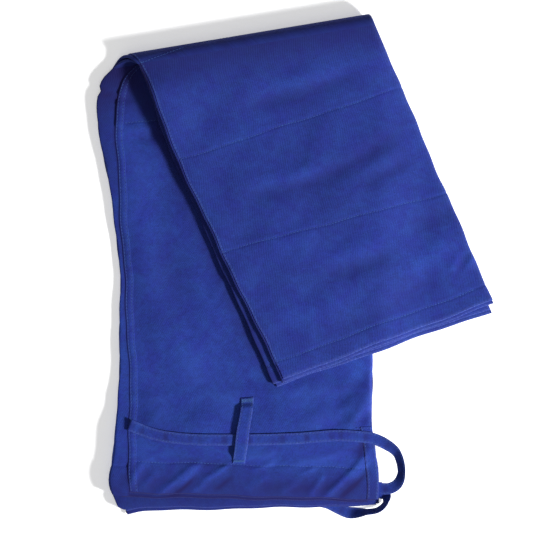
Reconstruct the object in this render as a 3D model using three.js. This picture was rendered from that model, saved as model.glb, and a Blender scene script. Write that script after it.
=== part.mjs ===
// Judo trousers of heavy cotton drill, folded in half down the centre front and
// then once across the legs, lying on a floor.
//
// Frame: millimetres, +Z up. The waist is at -Y, the fold across the legs at +Y,
// the side seams at -X and the centre front at +X.
//
// The cloth lies in four walls. Above the floor they are the right front, the right
// back, the left back and the left front. All four go round one loose roll at the
// fold, and come back over themselves in the reverse order.

import * as THREE from 'three';

// ---- Driving dimensions ----

const WALL = 0.8; // thickness of a cloth wall
const PLY = 0.4; // turned-in cloth of a hem or of the waist casing
const PATCH = 0.7; // knee patch
const GAP = 0.2; // between cloths that are sewn together
const JOIN = 0.3; // between pieces that meet end to end
const LAYER = 2.4; // from one wall to the next

const ROLL_HEIGHT = 14; // centre of the roll above the floor
const ROLL_RADIUS = 5; // innermost wall of the roll
const ROLL_STEPS = 10;
const ROLL_ANGLE = THREE.MathUtils.degToRad(9.4); // turn of the roll from the X axis
const ROLL_START = new THREE.Vector2(-183.2, 217.4); // a point on the centre of the roll
const ROLL_LEFT = [-16.7, 13]; // where the roll starts along its centre, below and on top
const ROLL_RIGHT = [268, 275]; // where it ends

const THIGH = 505; // from the lowest waist edge to the roll, between the two edges
const SHIN = 370; // from the roll to the lowest hem
const HEM = 20; // turned-in cloth at the leg ends
const CASING = 35; // turned-in cloth at the waist, which the drawstring runs in
const CASING_SIDE = 12; // from the side fold to where that cloth starts
const SLIT = 85; // where the slit at the centre front ends
const FACING = 13; // width of the strip that finishes each side of the slit
const SEAM_INSET = 11; // from the edge of a flattened leg to the seams of its knee patch
const BACK_INSET = 4; // of the back walls at the inner edge, inside the front ones

const KNEE_TOP = 433; // where the knee patch starts, from the lowest waist edge
const ROLL_LIFT = 1.4; // of the thigh beside the roll, which the knee patch holds up
const ROLL_LIFT_END = 410; // where the thigh is down on the floor
const WAIST_LIFT = 2; // of the waist, which the right belt loop holds up
const WAIST_LIFT_ENDS = [124, 142];
const CASING_LIFT = 2.7; // what the drawstring and two casings add between two walls
const CASING_LIFT_ENDS = [85, 124];

const SETTLE = 8.2; // how far the shins come down from the top of the roll
const SETTLE_END = 100;
const DROOP = 9.3; // how far they hang over the edge of the thighs, down to the floor
const DROOP_ENDS = [90, 150];

const TAPE_WIDTH = 12.5; // drawstring, a flat cotton tape
const TAPE = 1.1;
const TAPE_DEPTH = WALL / 2 + GAP + TAPE / 2; // of the drawstring inside a wall
const TAPE_INSET = 14; // of the drawstring from the waist edge

const LOOP_WIDTH = 14; // belt loops
const LOOP_STRAP = 1.4;
const LOOP_REACH = 142.4; // from the side edge to the middle of a loop
const LOOP_ENDS = [50, 122]; // from the lowest waist edge
const LOOP_RISE = 3.5; // of the left loop, which the drawstring passes under
const LOOP_SEWN = 5; // length of a loop that is sewn down at each end
const LOOP_RAMP = 7; // over which it then rises

const TAPE_REST = 0.5; // clear height of the drawstring's free end above what it lies on

// ---- Outlines in plan ----

const curve = (...points) =>
  new THREE.CatmullRomCurve3(
    points.map(([x, y, z = 0]) => new THREE.Vector3(x, y, z)),
    false,
    'centripetal'
  );

const along = new THREE.Vector3(Math.cos(ROLL_ANGLE), Math.sin(ROLL_ANGLE), 0);
const outward = new THREE.Vector3(-Math.sin(ROLL_ANGLE), Math.cos(ROLL_ANGLE), 0);

const rollPoint = (distance) =>
  new THREE.Vector3(ROLL_START.x, ROLL_START.y, 0).addScaledVector(along, distance);

const ends = (point) => [point.x, point.y];

// From the lowest waist edge to the roll.
const thighEdges = {
  side: curve(
    [-197, -272], [-201, -232], [-194, -165], [-191, -60], [-192, 5],
    [-202, 82], [-214, 148], [-216, 181], [-211, 202], ends(rollPoint(ROLL_LEFT[0]))
  ),
  inner: curve(
    [94, -265], [93, -232], [87, -182], [86, -116], [85, 16],
    [82, 159], ends(rollPoint(ROLL_RIGHT[0]))
  ),
};

// From the roll to the longest hem of each leg.
const shinEdges = {
  left: {
    side: curve(ends(rollPoint(ROLL_LEFT[1])), [-161, 198], [-140, 135.5], [-20.4, -134.8]),
    inner: curve(ends(rollPoint(ROLL_RIGHT[1])), [216.2, -52.8]),
  },
  right: {
    side: curve(ends(rollPoint(ROLL_LEFT[1])), [-160, 198.6], [-138, 137], [-12.4, -130.2]),
    inner: curve(ends(rollPoint(ROLL_RIGHT[1])), [219, -43.1]),
  },
};

// ---- Walls and legs ----

// order: walls between this one and the inside of the roll
// casings: pairs of casings under this wall at the waist
// waist: how far its waist edge is from the lowest one, at the side and at the front
// hem: how far its hem is from the longest hem of the leg
const walls = {
  leftFront: { order: 0, casings: 2, waist: [22, 6], hem: 0 },
  leftBack: { order: 1, casings: 1, waist: [17, 4], hem: 4 },
  rightBack: { order: 2, casings: 1, waist: [4, 1], hem: 0 },
  rightFront: { order: 3, casings: 0, waist: [0, 0], hem: 3.5 },
};

// seam: how far the side seam is from the edge, from the waist to the hem
const legs = {
  left: { front: walls.leftFront, back: walls.leftBack, seam: [[0, 22], [250, 5.5], [330, 6], [505, 29]] },
  right: { front: walls.rightFront, back: walls.rightBack, seam: [[0, 11], [505, 11]] },
};

// The value at a distance in a list of [distance, value], with straight lines between.
function ramp(list, distance) {
  const after = list.findIndex(([at]) => at >= distance);
  if (after === 0) return list[0][1];
  if (after < 0) return list.at(-1)[1];
  const [from, low] = list[after - 1];
  const [to, high] = list[after];
  return THREE.MathUtils.mapLinear(distance, from, to, low, high);
}

const rollRadius = (wall) => ROLL_RADIUS + LAYER * wall.order;

function thighHeight(wall, distance) {
  const rest = WALL / 2 + LAYER * (3 - wall.order);
  const roll = ramp([[ROLL_LIFT_END, 0], [KNEE_TOP, ROLL_LIFT]], distance);
  const waist = ramp([[WAIST_LIFT_ENDS[0], WAIST_LIFT], [WAIST_LIFT_ENDS[1], 0]], distance);
  const casing = ramp([[CASING_LIFT_ENDS[0], CASING_LIFT], [CASING_LIFT_ENDS[1], 0]], distance);
  return rest + roll + waist + casing * wall.casings;
}

// ---- Rows of cloth, each straight from the side edge to the inner edge ----
// radius(wall) is the distance of a wall from the row's centre, along its normal.

function makeRow(side, inner, normal, radius, seam, droops = false) {
  const across = inner.clone().sub(side);
  return { side, width: across.length(), across: across.normalize(), normal, radius, seam, droops };
}

function pointAt(edge, distance) {
  return edge.getPointAt(Math.min(1, distance / edge.getLength()));
}

// distances: along the side edge and the inner edge
function thighRowBetween(leg, distances, distance) {
  return makeRow(
    pointAt(thighEdges.side, distances[0]),
    pointAt(thighEdges.inner, distances[1]),
    new THREE.Vector3(0, 0, -1),
    (wall) => ROLL_HEIGHT - thighHeight(wall, distance),
    ramp(leg.seam, distance)
  );
}

function thighRow(leg, distance) {
  const share = distance / THIGH;
  const distances = [thighEdges.side, thighEdges.inner].map((edge) => share * edge.getLength());
  return thighRowBetween(leg, distances, distance);
}

function waistRow(leg, wall, inset) {
  return thighRowBetween(leg, wall.waist.map((cut) => cut + inset), inset);
}

function rollRow(leg, share) {
  const angle = (share - 0.5) * Math.PI;
  const normal = outward.clone().multiplyScalar(Math.cos(angle));
  normal.z = Math.sin(angle);
  return makeRow(
    rollPoint(THREE.MathUtils.lerp(...ROLL_LEFT, share)),
    rollPoint(THREE.MathUtils.lerp(...ROLL_RIGHT, share)),
    normal,
    rollRadius,
    THREE.MathUtils.lerp(ramp(leg.seam, THIGH), SEAM_INSET, share)
  );
}

function shinRow(leg, distance, cut = 0) {
  const edges = leg === legs.left ? shinEdges.left : shinEdges.right;
  const [side, inner] = [edges.side, edges.inner].map((edge) => {
    const length = edge.getLength();
    return edge.getPointAt((distance / SHIN) * (1 - cut / length));
  });
  const settled = SETTLE * THREE.MathUtils.smoothstep(distance, 0, SETTLE_END);
  const radius = (wall) => rollRadius(wall) - settled;
  return makeRow(side, inner, new THREE.Vector3(0, 0, 1), radius, SEAM_INSET, true);
}

const thighRows = (leg, wall) => [
  waistRow(leg, wall, 0),
  waistRow(leg, wall, CASING),
  ...[SLIT, 124, 142, 195, 250, 305, 358, ROLL_LIFT_END, KNEE_TOP, 470, THIGH].map((distance) =>
    thighRow(leg, distance)
  ),
];

const rollRows = (leg) =>
  Array.from({ length: ROLL_STEPS + 1 }, (_, step) => rollRow(leg, step / ROLL_STEPS));

const shinRows = (leg, wall) =>
  [0, 15, 32, 50, 70, SETTLE_END, 150, 200, 250, 300, SHIN - HEM, SHIN].map((distance) =>
    shinRow(leg, distance, wall.hem)
  );

// ---- Cloth ----

// A point of a leg's cloth on a row. reach is how far it is round the leg from the side
// fold: over 0 on the front wall, under 0 on the back wall. out is how far it is outside
// the middle of the wall.
function clothPoint(leg, row, reach, out) {
  const [front, back] = [row.radius(leg.front), row.radius(leg.back)];
  const turn = Math.abs(front - back) / 2;
  const quarter = (turn * Math.PI) / 2;
  const angle = THREE.MathUtils.clamp(reach / turn, -Math.PI / 2, Math.PI / 2);
  const beyond = Math.max(0, Math.abs(reach) - quarter);
  const inward = WALL / 2 + turn - (turn + out) * Math.cos(angle) + beyond;
  const height = (front + back) / 2 + Math.sign(front - back) * (turn + out) * Math.sin(angle);
  const point = row.side
    .clone()
    .addScaledVector(row.across, inward)
    .addScaledVector(row.normal, height);
  point.z += ROLL_HEIGHT;
  if (row.droops) point.z -= DROOP * THREE.MathUtils.smoothstep(point.x, ...DROOP_ENDS);
  return point;
}

// A closed sheet of points, in columns and lines, with pointOf(column, line, outside).
function closedSheet(columns, lines, pointOf) {
  const geometry = new THREE.BoxGeometry(1, 1, 1, columns - 1, lines - 1, 1);
  const position = geometry.attributes.position;
  for (let i = 0; i < position.count; i++) {
    const column = Math.round((position.getX(i) + 0.5) * (columns - 1));
    const line = Math.round((position.getY(i) + 0.5) * (lines - 1));
    const point = pointOf(column, line, position.getZ(i) > 0);
    position.setXYZ(i, point.x, point.y, point.z);
  }
  matchDiagonals(geometry);
  return faceOutwards(geometry);
}

// A closed sheet over rows. reaches(row) lists how far round the leg its points are.
function sheet(leg, rows, reaches, inside, outside) {
  const lists = rows.map(reaches);
  return closedSheet(lists[0].length, rows.length, (column, line, isOutside) =>
    clothPoint(leg, rows[line], lists[line][column], isOutside ? outside : inside)
  );
}

// Cuts both broad sides of a box along the same diagonals, so that sheets that lie
// together bend alike.
function matchDiagonals(geometry) {
  const index = geometry.index.array;
  const { start, count } = geometry.groups.at(-1);
  for (let i = start; i < start + count; i += 6) {
    const [a, b, d, , c] = index.slice(i, i + 6);
    index.set([a, b, c, a, c, d], i);
  }
}

// Turns a closed geometry's faces over if they face in.
function faceOutwards(geometry) {
  const index = geometry.index.array;
  const position = geometry.attributes.position;
  const corner = (i) => new THREE.Vector3().fromBufferAttribute(position, index[i]);
  let volume = 0;
  for (let i = 0; i < index.length; i += 3) {
    volume += corner(i).dot(corner(i + 1).cross(corner(i + 2)));
  }
  if (volume < 0) index.reverse();
  return geometry;
}

// reaches of a wall's flat part, from the side seam to the inner edge
const spread = (row, columns, from, margin) => {
  const last = row.width - SEAM_INSET;
  const flat = Array.from({ length: columns + 1 }, (_, i) =>
    THREE.MathUtils.lerp(from, last, i / columns)
  );
  return [...flat, row.width - margin];
};

const frontReaches = (columns) => (row) => spread(row, columns, row.seam + GAP, WALL);

const patchReaches = (columns) => (row) => frontReaches(columns)(row).slice(0, -1);

// Round the side fold from the side seam, then under to the inner edge.
const backReaches = (leg, columns) => (row) => {
  const quarter = (Math.abs(row.radius(leg.front) - row.radius(leg.back)) * Math.PI) / 4;
  const turn = [1, 0.5, 0, -0.5, -1].map((share) => share * quarter);
  const flat = spread(row, columns, row.seam, BACK_INSET);
  return [row.seam - GAP, ...turn, ...flat.map((reach) => -reach)];
};

// ---- Tape ----

const tapeSection = () => {
  const [thick, wide, corner] = [TAPE / 2, TAPE_WIDTH / 2, TAPE / 4];
  const quarter = [[thick, wide - corner], [thick - corner, wide]];
  const points = [
    ...quarter,
    ...quarter.map(([x, y]) => [-x, y]).reverse(),
    ...quarter.map(([x, y]) => [-x, -y]),
    ...quarter.map(([x, y]) => [x, -y]).reverse(),
  ];
  return new THREE.Shape(points.map(([x, y]) => new THREE.Vector2(x, y)));
};

// A tape along a curve. widthAlong(share) is roughly the way of its width there.
function tape(path, steps, widthAlong) {
  path.computeFrenetFrames = (segments) => {
    const frames = { tangents: [], normals: [], binormals: [] };
    for (let i = 0; i <= segments; i++) {
      const tangent = path.getTangentAt(i / segments);
      const normal = widthAlong(i / segments).cross(tangent).normalize();
      frames.tangents.push(tangent);
      frames.normals.push(normal);
      frames.binormals.push(tangent.clone().cross(normal));
    }
    return frames;
  };
  return new THREE.ExtrudeGeometry(tapeSection(), { steps, extrudePath: path });
}

// ---- The trousers ----

const CLOTH = 0x2e3e90;
const trousers = new THREE.Group();

function add(name, geometry, color = CLOTH, roughness = 0.9) {
  const material = new THREE.MeshStandardMaterial({ color, roughness, metalness: 0 });
  const mesh = new THREE.Mesh(geometry, material);
  mesh.name = name;
  trousers.add(mesh);
}

const half = WALL / 2;
const patchSides = [half + GAP, half + GAP + PATCH];
const casingSides = [-(TAPE_DEPTH + TAPE / 2 + GAP + PLY), -(TAPE_DEPTH + TAPE / 2 + GAP)];
const hemSides = [-(half + GAP + PLY), -(half + GAP)];

// The front and back of a leg: thigh, roll and shin, with the hems and the casings.
function addPanels(name, leg) {
  const sections = { thigh: thighRows, fold: rollRows, shin: shinRows };
  for (const [section, rows] of Object.entries(sections)) {
    const columns = section === 'shin' ? 8 : 2;
    const [frontRows, backRows] = [rows(leg, leg.front), rows(leg, leg.back)];
    add(`${name}_front_${section}`, sheet(leg, frontRows, frontReaches(columns), -half, half));
    add(`${name}_back_${section}`, sheet(leg, backRows, backReaches(leg, columns), -half, half));
  }
  const backward = (reaches) => (row) => reaches(row).map((reach) => -reach);
  for (const [side, wall, facing] of [
    ['front', leg.front, (reaches) => reaches],
    ['back', leg.back, backward],
  ]) {
    const hem = sheet(leg, shinRows(leg, wall).slice(-2), facing(patchReaches(8)), ...hemSides);
    const casingRows = [waistRow(leg, wall, 1), waistRow(leg, wall, CASING)];
    const casingReaches = (row) => [CASING_SIDE, row.width - SEAM_INSET];
    const casing = sheet(leg, casingRows, facing(casingReaches), ...casingSides);
    add(`${name}_${side}_hem`, hem);
    add(`${name}_${side}_waist_casing`, casing);
  }
}

// A knee patch lies on the outside of the front wall, from above the knee to the hem.
function addKneePatch(name, leg) {
  const start = thighRows(leg, leg.front).slice(-3);
  const sections = { thigh: start, fold: rollRows(leg), shin: shinRows(leg, leg.front) };
  for (const [section, rows] of Object.entries(sections)) {
    const columns = section === 'shin' ? 8 : 2;
    add(`${name}_knee_patch_${section}`, sheet(leg, rows, patchReaches(columns), ...patchSides));
  }
}

// A strap across the waist, sewn down at both ends. Its middle stands off the cloth by rise.
function addBeltLoop(name, leg, rise) {
  const [low, high] = LOOP_ENDS;
  const [sewn, risen] = [LOOP_SEWN, LOOP_SEWN + LOOP_RAMP];
  const distances = [low, low + sewn, low + risen, SLIT, high - risen, high - sewn, high];
  const rows = distances.map((distance) => thighRow(leg, distance));
  const rises = distances.map((distance) => {
    const near = Math.min(distance - low, high - distance) - LOOP_SEWN;
    return rise * THREE.MathUtils.clamp(near / LOOP_RAMP, 0, 1);
  });
  const raised = rows.map((row, i) => ({ ...row, radius: (wall) => row.radius(wall) - rises[i] }));
  const reaches = () => [LOOP_REACH - LOOP_WIDTH / 2, LOOP_REACH + LOOP_WIDTH / 2];
  add(`${name}_belt_loop`, sheet(leg, raised, reaches, half + GAP, half + GAP + LOOP_STRAP));
}

// The strip that finishes one side of the slit at the centre front.
function addSlitFacing(name, leg) {
  const rows = thighRows(leg, leg.front).slice(0, 3);
  const reaches = (row) => [row.width - WALL - FACING, row.width - WALL];
  add(`${name}_slit_facing`, sheet(leg, rows, reaches, half + GAP, half + GAP + PLY));
}

// The drawstring in the casings: one run in each front, and one round the whole back.
function addDrawstringRuns() {
  const offSide = 1.2; // from where the cloth would hold it at the side folds
  const meeting = 12; // from the side edge to where the runs meet
  const sides = [-(TAPE_DEPTH + TAPE / 2), -(TAPE_DEPTH - TAPE / 2)];
  const rowsOf = (leg) =>
    [-1, 1].map((side) => {
      const row = waistRow(leg, leg.front, TAPE_INSET + (side * TAPE_WIDTH) / 2);
      return { ...row, side: row.side.clone().addScaledVector(row.across, offSide) };
    });
  for (const [name, leg] of Object.entries(legs)) {
    const reaches = (row) => [meeting + JOIN, row.width - offSide - WALL];
    add(`drawstring_${name}_run`, sheet(leg, rowsOf(leg), reaches, ...sides));
  }

  const [leftRows, rightRows] = [rowsOf(legs.left), rowsOf(legs.right)];
  const round = [meeting, 7, 4, 2, 0, -2, -4, -7, -meeting];
  const turns = [0.2, 0.4, 0.6, 0.8];
  const last = round.length;
  const columns = 2 * (last + 1) + turns.length;
  const onLeg = (leg, rows, column, line, out) => {
    const reach = column < last ? round[column] : BACK_INSET + offSide - rows[line].width;
    return clothPoint(leg, rows[line], reach, out);
  };
  const atTurn = (share, line, out) => {
    const from = onLeg(legs.left, leftRows, last, line, out);
    const to = onLeg(legs.right, rightRows, last, line, out);
    const [middle, radius] = [(from.z + to.z) / 2, (from.z - to.z) / 2];
    const point = from.lerp(to, share);
    point.x += radius * Math.sin(share * Math.PI);
    point.z = middle + radius * Math.cos(share * Math.PI);
    return point;
  };
  const backRun = closedSheet(columns, 2, (column, line, isOutside) => {
    const out = isOutside ? sides[1] : sides[0];
    if (column <= last) return onLeg(legs.left, leftRows, column, line, out);
    const turn = column - last - 1;
    if (turn < turns.length) return atTurn(turns[turn], line, out);
    return onLeg(legs.right, rightRows, columns - 1 - column, line, out);
  });
  add('drawstring_back_run', backRun);
}

// The free ends of the drawstring, from the slit. turns lists [share, degrees]: how far the
// tape is turned about its own length from lying flat.
function addDrawstringEnd(name, points, turns, steps) {
  const path = curve(...points);
  const widthAlong = (share) => {
    const tangent = path.getTangentAt(share);
    const flat = new THREE.Vector3(0, 0, 1).cross(tangent).normalize();
    return flat.applyAxisAngle(tangent, THREE.MathUtils.degToRad(ramp(turns, share)));
  };
  add(`drawstring_${name}_end`, tape(path, steps, widthAlong));
}

for (const [name, leg] of Object.entries(legs)) {
  addPanels(name, leg);
  addKneePatch(name, leg);
  addBeltLoop(name, leg, leg === legs.left ? LOOP_RISE : 0);
  addSlitFacing(name, leg);
}
addDrawstringRuns();

const onFront = thighHeight(walls.leftFront, 0) + half + GAP + PLY + TAPE_REST + TAPE / 2;
addDrawstringEnd(
  'left',
  [
    [96, -246, 14], [106, -245.5, 15], [114, -240.5, 16], [118, -231, 17], [117.5, -219, 18],
    [112.5, -206, 18.5], [101, -197, 18], [86, -190.5, onFront], [71, -188.7, onFront],
    [49, -187.6, onFront], [2, -190.9, onFront], [-65, -192.5, onFront], [-119, -191.4, onFront],
    [-152, -186.5, onFront], [-180.4, -176, onFront],
  ],
  [[0, 0], [0.06, 50], [0.17, 20], [0.22, 0]],
  72
);
addDrawstringEnd(
  'right',
  [
    [96, -251, 3.6], [102, -254, 4.5], [101, -262, 6.8], [93, -269.5, 7.4], [80, -272, 7],
    [70, -273, 4], [60, -272.8, 1], [50, -268.5, 0.7], [36, -262, 0.7], [0, -258.5, 0.7],
    [-60, -258, 0.7], [-110, -257, 0.7],
  ],
  [[0, 0], [0.06, 80], [0.17, 80], [0.25, 4], [0.27, 0]],
  60
);

export default trousers;
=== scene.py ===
"""Judo trousers of heavy cotton drill, folded in half down the centre front and then once
across the legs. Each cloth is a closed shell worked out on a grid, in millimetres, around
the fixed frame, and is put into its mesh in metres.
"""

import math
from typing import NamedTuple

import bpy
import numpy as np
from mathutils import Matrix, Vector


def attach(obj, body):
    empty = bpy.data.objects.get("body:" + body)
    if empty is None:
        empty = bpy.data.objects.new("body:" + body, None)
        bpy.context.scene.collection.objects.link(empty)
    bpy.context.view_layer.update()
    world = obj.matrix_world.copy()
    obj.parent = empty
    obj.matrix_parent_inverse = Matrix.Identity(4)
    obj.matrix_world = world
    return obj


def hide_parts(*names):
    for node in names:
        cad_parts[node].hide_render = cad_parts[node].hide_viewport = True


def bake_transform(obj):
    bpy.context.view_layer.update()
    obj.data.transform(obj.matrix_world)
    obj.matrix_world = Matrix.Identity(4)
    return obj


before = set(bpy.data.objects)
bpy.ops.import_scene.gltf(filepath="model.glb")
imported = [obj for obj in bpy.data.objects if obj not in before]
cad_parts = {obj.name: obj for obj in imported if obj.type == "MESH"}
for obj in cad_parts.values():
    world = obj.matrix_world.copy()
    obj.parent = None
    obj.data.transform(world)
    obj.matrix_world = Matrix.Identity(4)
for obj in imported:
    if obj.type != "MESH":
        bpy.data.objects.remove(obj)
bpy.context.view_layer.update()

bl_info = {
    "name": "Folded judo trousers",
    "version": (1, 0, 0),
    "blender": (4, 5, 0),
    "location": "3D View > Sidebar > Trousers",
    "description": "Builds a pair of folded judo trousers of cotton drill around a fixed frame",
    "category": "Add Mesh",
}

MM = 0.001  # metres in a millimetre
QUARTER = math.pi / 2

# ---- Sizes that the frame fixes, in millimetres ----

WALL = 0.8  # thickness of a cloth wall
PLY = 0.4  # turned-in cloth
PATCH = 0.7  # knee patch
GAP = 0.2  # between cloths that are sewn together
LAYER = 2.4  # from one wall to the next
HALF = WALL / 2

ROLL_HEIGHT = 14.0  # of the roll's centre over the floor
ROLL_RADIUS = 5.0  # to the middle of the innermost wall
ROLL_ANGLE = math.radians(9.4)  # how far the roll is turned from straight across
ROLL_START = np.array([-183.2, 217.4])  # a point on the roll's axis
ROLL_LEFT = (-16.7, 13.0)  # side edge along the roll, of the thighs and of the shins
ROLL_RIGHT = (268.0, 275.0)  # and inner edge
ALONG = np.array([math.cos(ROLL_ANGLE), math.sin(ROLL_ANGLE)])
OUTWARD = np.array([-math.sin(ROLL_ANGLE), math.cos(ROLL_ANGLE)])

THIGH = 505.0  # from the lowest waist edge to the roll
SHIN = 370.0  # from the roll to the lowest hem
HEM = 20.0
CASING = 35.0  # width of the turned waist
CASING_SIDE = 12.0  # where it starts, from the side fold
SLIT = 85.0  # length of the opening at the centre front
SLIT_CLOSED = 105.0  # where the centre front seam has drawn the edge right round
FACING = 13.0  # width of the strip beside the slit
FACING_ROW = 2.4  # its stitching, from its outer edge
SEAM_INSET = 11.0  # side seam from the side fold
BACK_INSET = 4.0  # how much narrower a back is at the waist
RISE_ENDS = (285.0, 315.0)  # where the centre seam ends and the two legs part

KNEE_TOP = 433.0  # top of the knee patch, from the waist
ROLL_LIFT = 1.4  # how far the walls rise to the roll
ROLL_LIFT_END = 410.0
WAIST_LIFT = 2.0  # how far they rise to the waist
WAIST_LIFT_ENDS = (124.0, 142.0)
CASING_LIFT = 2.7  # and for each casing under them
CASING_LIFT_ENDS = (85.0, 124.0)
SETTLE = 8.2  # how far the shins sink from the roll to the thighs
SETTLE_END = 100.0
DROOP = 9.3  # and beyond the thighs' inner edge to the floor
DROOP_ENDS = (90.0, 150.0)

TAPE_WIDTH = 12.5
TAPE = 1.1  # its thickness
TAPE_DEPTH = HALF + GAP + TAPE / 2
TAPE_INSET = 14.0  # of its middle from the waist edge
TAPE_REST = 0.5  # how far it lies over the cloth
TAPE_ROW = 1.8  # edge stitching of the tape, from its edge

LOOP_WIDTH = 14.0
LOOP_STRAP = 1.4  # thickness of a belt loop
LOOP_REACH = 142.4  # of its middle from the side fold
LOOP_ENDS = (50.0, 122.0)  # from the waist edge
LOOP_RISE = 3.5  # over the tape
LOOP_SEWN = 5.0  # length of each sewn end
LOOP_RAMP = 7.0  # over which it rises from each of them
LOOP_ROW = 1.9  # edge stitching of a belt loop, from its edge

# Rows of stitching through a knee patch, as distances from the roll at the side and at the
# inner edge. Between them the rows of cloth turn evenly.
PATCH_ROWS = ((110.8, 83.5), (218.6, 225.0))
ROW_PLACES = (0.0, 97.0, 222.0, SHIN - HEM, SHIN)
ROW_SIDE = (0.0, PATCH_ROWS[0][0], PATCH_ROWS[1][0], SHIN - HEM, SHIN)
ROW_INNER = (0.0, PATCH_ROWS[0][1], PATCH_ROWS[1][1], SHIN - HEM, SHIN)
PATCH_TOP_ROW = KNEE_TOP + 2.2  # stitching along the patch's top
PATCH_SIDE_ROW = 1.5  # and along its side, from its edge
FIRST_ROW_REACH = 115.0  # over which the first row runs from the top of the roll to its back

# ---- Details of the sewing, in millimetres ----

DRIFT_PHASE = {"left": 0.0, "right": 47.0}  # so that the two legs creep apart
CORNERS = {"left": 5.0, "right": 11.0}  # radii of the waist's side corners
# Where the cloth has crept, at the waist's side corner and in a notch of the side edge near the
# roll: the place, how far the creep reaches each way, and its shift.
NOTCH = (-215, 190, 9, 3.4, 2.8, 0)
CREPT_PLACES = {"left": ((-199, -238, 12, 15, -2.2, 0), NOTCH),
                "right": ((-192, -274, 20, 14, 4.0, -3.6), NOTCH)}
LIP = 7.0  # rise of the shins' side edge beside the roll
LIP_WIDTH = 34.0
FELL = 8.5  # width of a felled seam
FELL_THICK = 0.6
FELL_ROWS = (1.4, 6.9)  # its two rows of stitching, from the seam
GROOVE = 0.45  # depth of the cloth at a row of stitching
GROOVE_WIDTH = 1.5
FINE = (-4.5, -3.0, -1.9, -1.0, 0.0, 1.0, 1.9, 3.0, 4.5)  # grid lines beside a stitched row


def smooth(value, low, high):
    """0 up to low, 1 from high, and 3t^2 - 2t^3 between them."""
    t = np.clip((value - low) / (high - low), 0, 1)
    return t * t * (3 - 2 * t)


def mix(a, b, share):
    """a at share 0, b at share 1, and evenly between."""
    return a + (b - a) * share


# ---- Outlines in plan ----


class Edge:
    """A smooth line through points, by distance along it.

    It is a centripetal Catmull-Rom curve: between two points, the cubic whose end slopes come
    from the neighbours, spaced by the square root of their distances.
    """

    def __init__(self, points, steps=80):
        p = np.array(points, float)
        p = np.vstack([2 * p[0] - p[1], p, 2 * p[-1] - p[-2]])
        gaps = np.linalg.norm(np.diff(p, axis=0), axis=1) ** 0.5
        before, here, after = (gaps[k : len(gaps) - 2 + k, None, None] for k in range(3))
        a, b, c, d = (p[k : len(p) - 3 + k, None, :] for k in range(4))
        leave = ((b - a) / before - (c - a) / (before + here) + (c - b) / here) * here
        arrive = ((c - b) / here - (d - b) / (here + after) + (d - c) / after) * here
        t = (np.arange(steps) / steps)[None, :, None]
        cubic = 2 * b - 2 * c + leave + arrive
        square = 3 * c - 3 * b - 2 * leave - arrive
        line = (cubic * t**3 + square * t**2 + leave * t + b).reshape(-1, p.shape[1])
        self.line = np.vstack([line, p[-2]])
        steps_along = np.linalg.norm(np.diff(self.line, axis=0), axis=1)
        self.places = np.concatenate([[0], np.cumsum(steps_along)])
        self.length = self.places[-1]

    def at(self, distance):
        """Points at these distances."""
        columns = [np.interp(distance, self.places, column) for column in self.line.T]
        return np.stack(columns, axis=-1)


def roll_point(distance):
    """A point on the centre of the roll, in plan."""
    return ROLL_START + ALONG * distance


THIGH_EDGES = (
    Edge([(-197, -272), (-201, -232), (-194, -165), (-191, -60), (-192, 5), (-202, 82),
          (-214, 148), (-216, 181), (-211, 202), roll_point(ROLL_LEFT[0])]),
    Edge([(94, -265), (93, -232), (87, -182), (86, -116), (85, 16), (82, 159),
          roll_point(ROLL_RIGHT[0])]),
)
SHIN_EDGES = {
    "left": (
        Edge([roll_point(ROLL_LEFT[1]), (-161, 198), (-140, 135.5), (-20.4, -134.8)]),
        Edge([roll_point(ROLL_RIGHT[1]), (216.2, -52.8)]),
    ),
    "right": (
        Edge([roll_point(ROLL_LEFT[1]), (-160, 198.6), (-138, 137), (-12.4, -130.2)]),
        Edge([roll_point(ROLL_RIGHT[1]), (219, -43.1)]),
    ),
}


class Wall(NamedTuple):
    """One cloth wall: walls inside it at the roll, casings under it, waist cuts and hem cut."""

    order: int
    casings: int
    waist: tuple
    hem: float


class Leg(NamedTuple):
    """A leg: its name, its two walls and where its side seam is, from the waist to the roll."""

    name: str
    front: Wall
    back: Wall
    seam: tuple


LEFT = Leg(
    "left", Wall(0, 2, (22, 6), 0), Wall(1, 1, (17, 4), 4),
    ((0, 250, 330, 505), (22, 5.5, 6, 29)),
)
RIGHT = Leg(
    "right", Wall(3, 0, (0, 0), 3.5), Wall(2, 1, (4, 1), 0),
    ((0, 505), (11, 11)),
)
LEGS = (LEFT, RIGHT)
SEAM_EASE = np.linspace(-28, 28, 9)  # a seam's course is the mean over this much of it


def seam_inset(leg, distance):
    """How far the side seam is from the side fold: the mean of its course near a distance."""
    near = np.clip(np.asarray(distance, float)[..., None] + SEAM_EASE, 0, THIGH)
    return np.interp(near, *leg.seam).mean(axis=-1)


def thigh_height(wall, distance):
    """Height of a wall's middle above the floor, with the lifts of the roll and the waist."""
    rest = HALF + LAYER * (3 - wall.order)
    roll = ROLL_LIFT * smooth(distance, ROLL_LIFT_END, KNEE_TOP)
    waist = WAIST_LIFT * (1 - smooth(distance, *WAIST_LIFT_ENDS))
    casing = CASING_LIFT * (1 - smooth(distance, *CASING_LIFT_ENDS))
    return rest + roll + waist + casing * wall.casings


def roll_radius(wall):
    """Distance of a wall's middle from the centre of the roll."""
    return ROLL_RADIUS + LAYER * wall.order


class Rows(NamedTuple):
    """Straight rows of cloth, each from the side edge to the inner edge.

    normal points from the row's centre to the walls, radii are the distances of the front
    and the back wall along it, and curl is (radius, angle) of each wall's inner edge.
    """

    section: str
    side: np.ndarray
    inner: np.ndarray
    normal: np.ndarray
    radii: tuple
    seam: np.ndarray
    distance: np.ndarray
    curls: tuple


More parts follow.
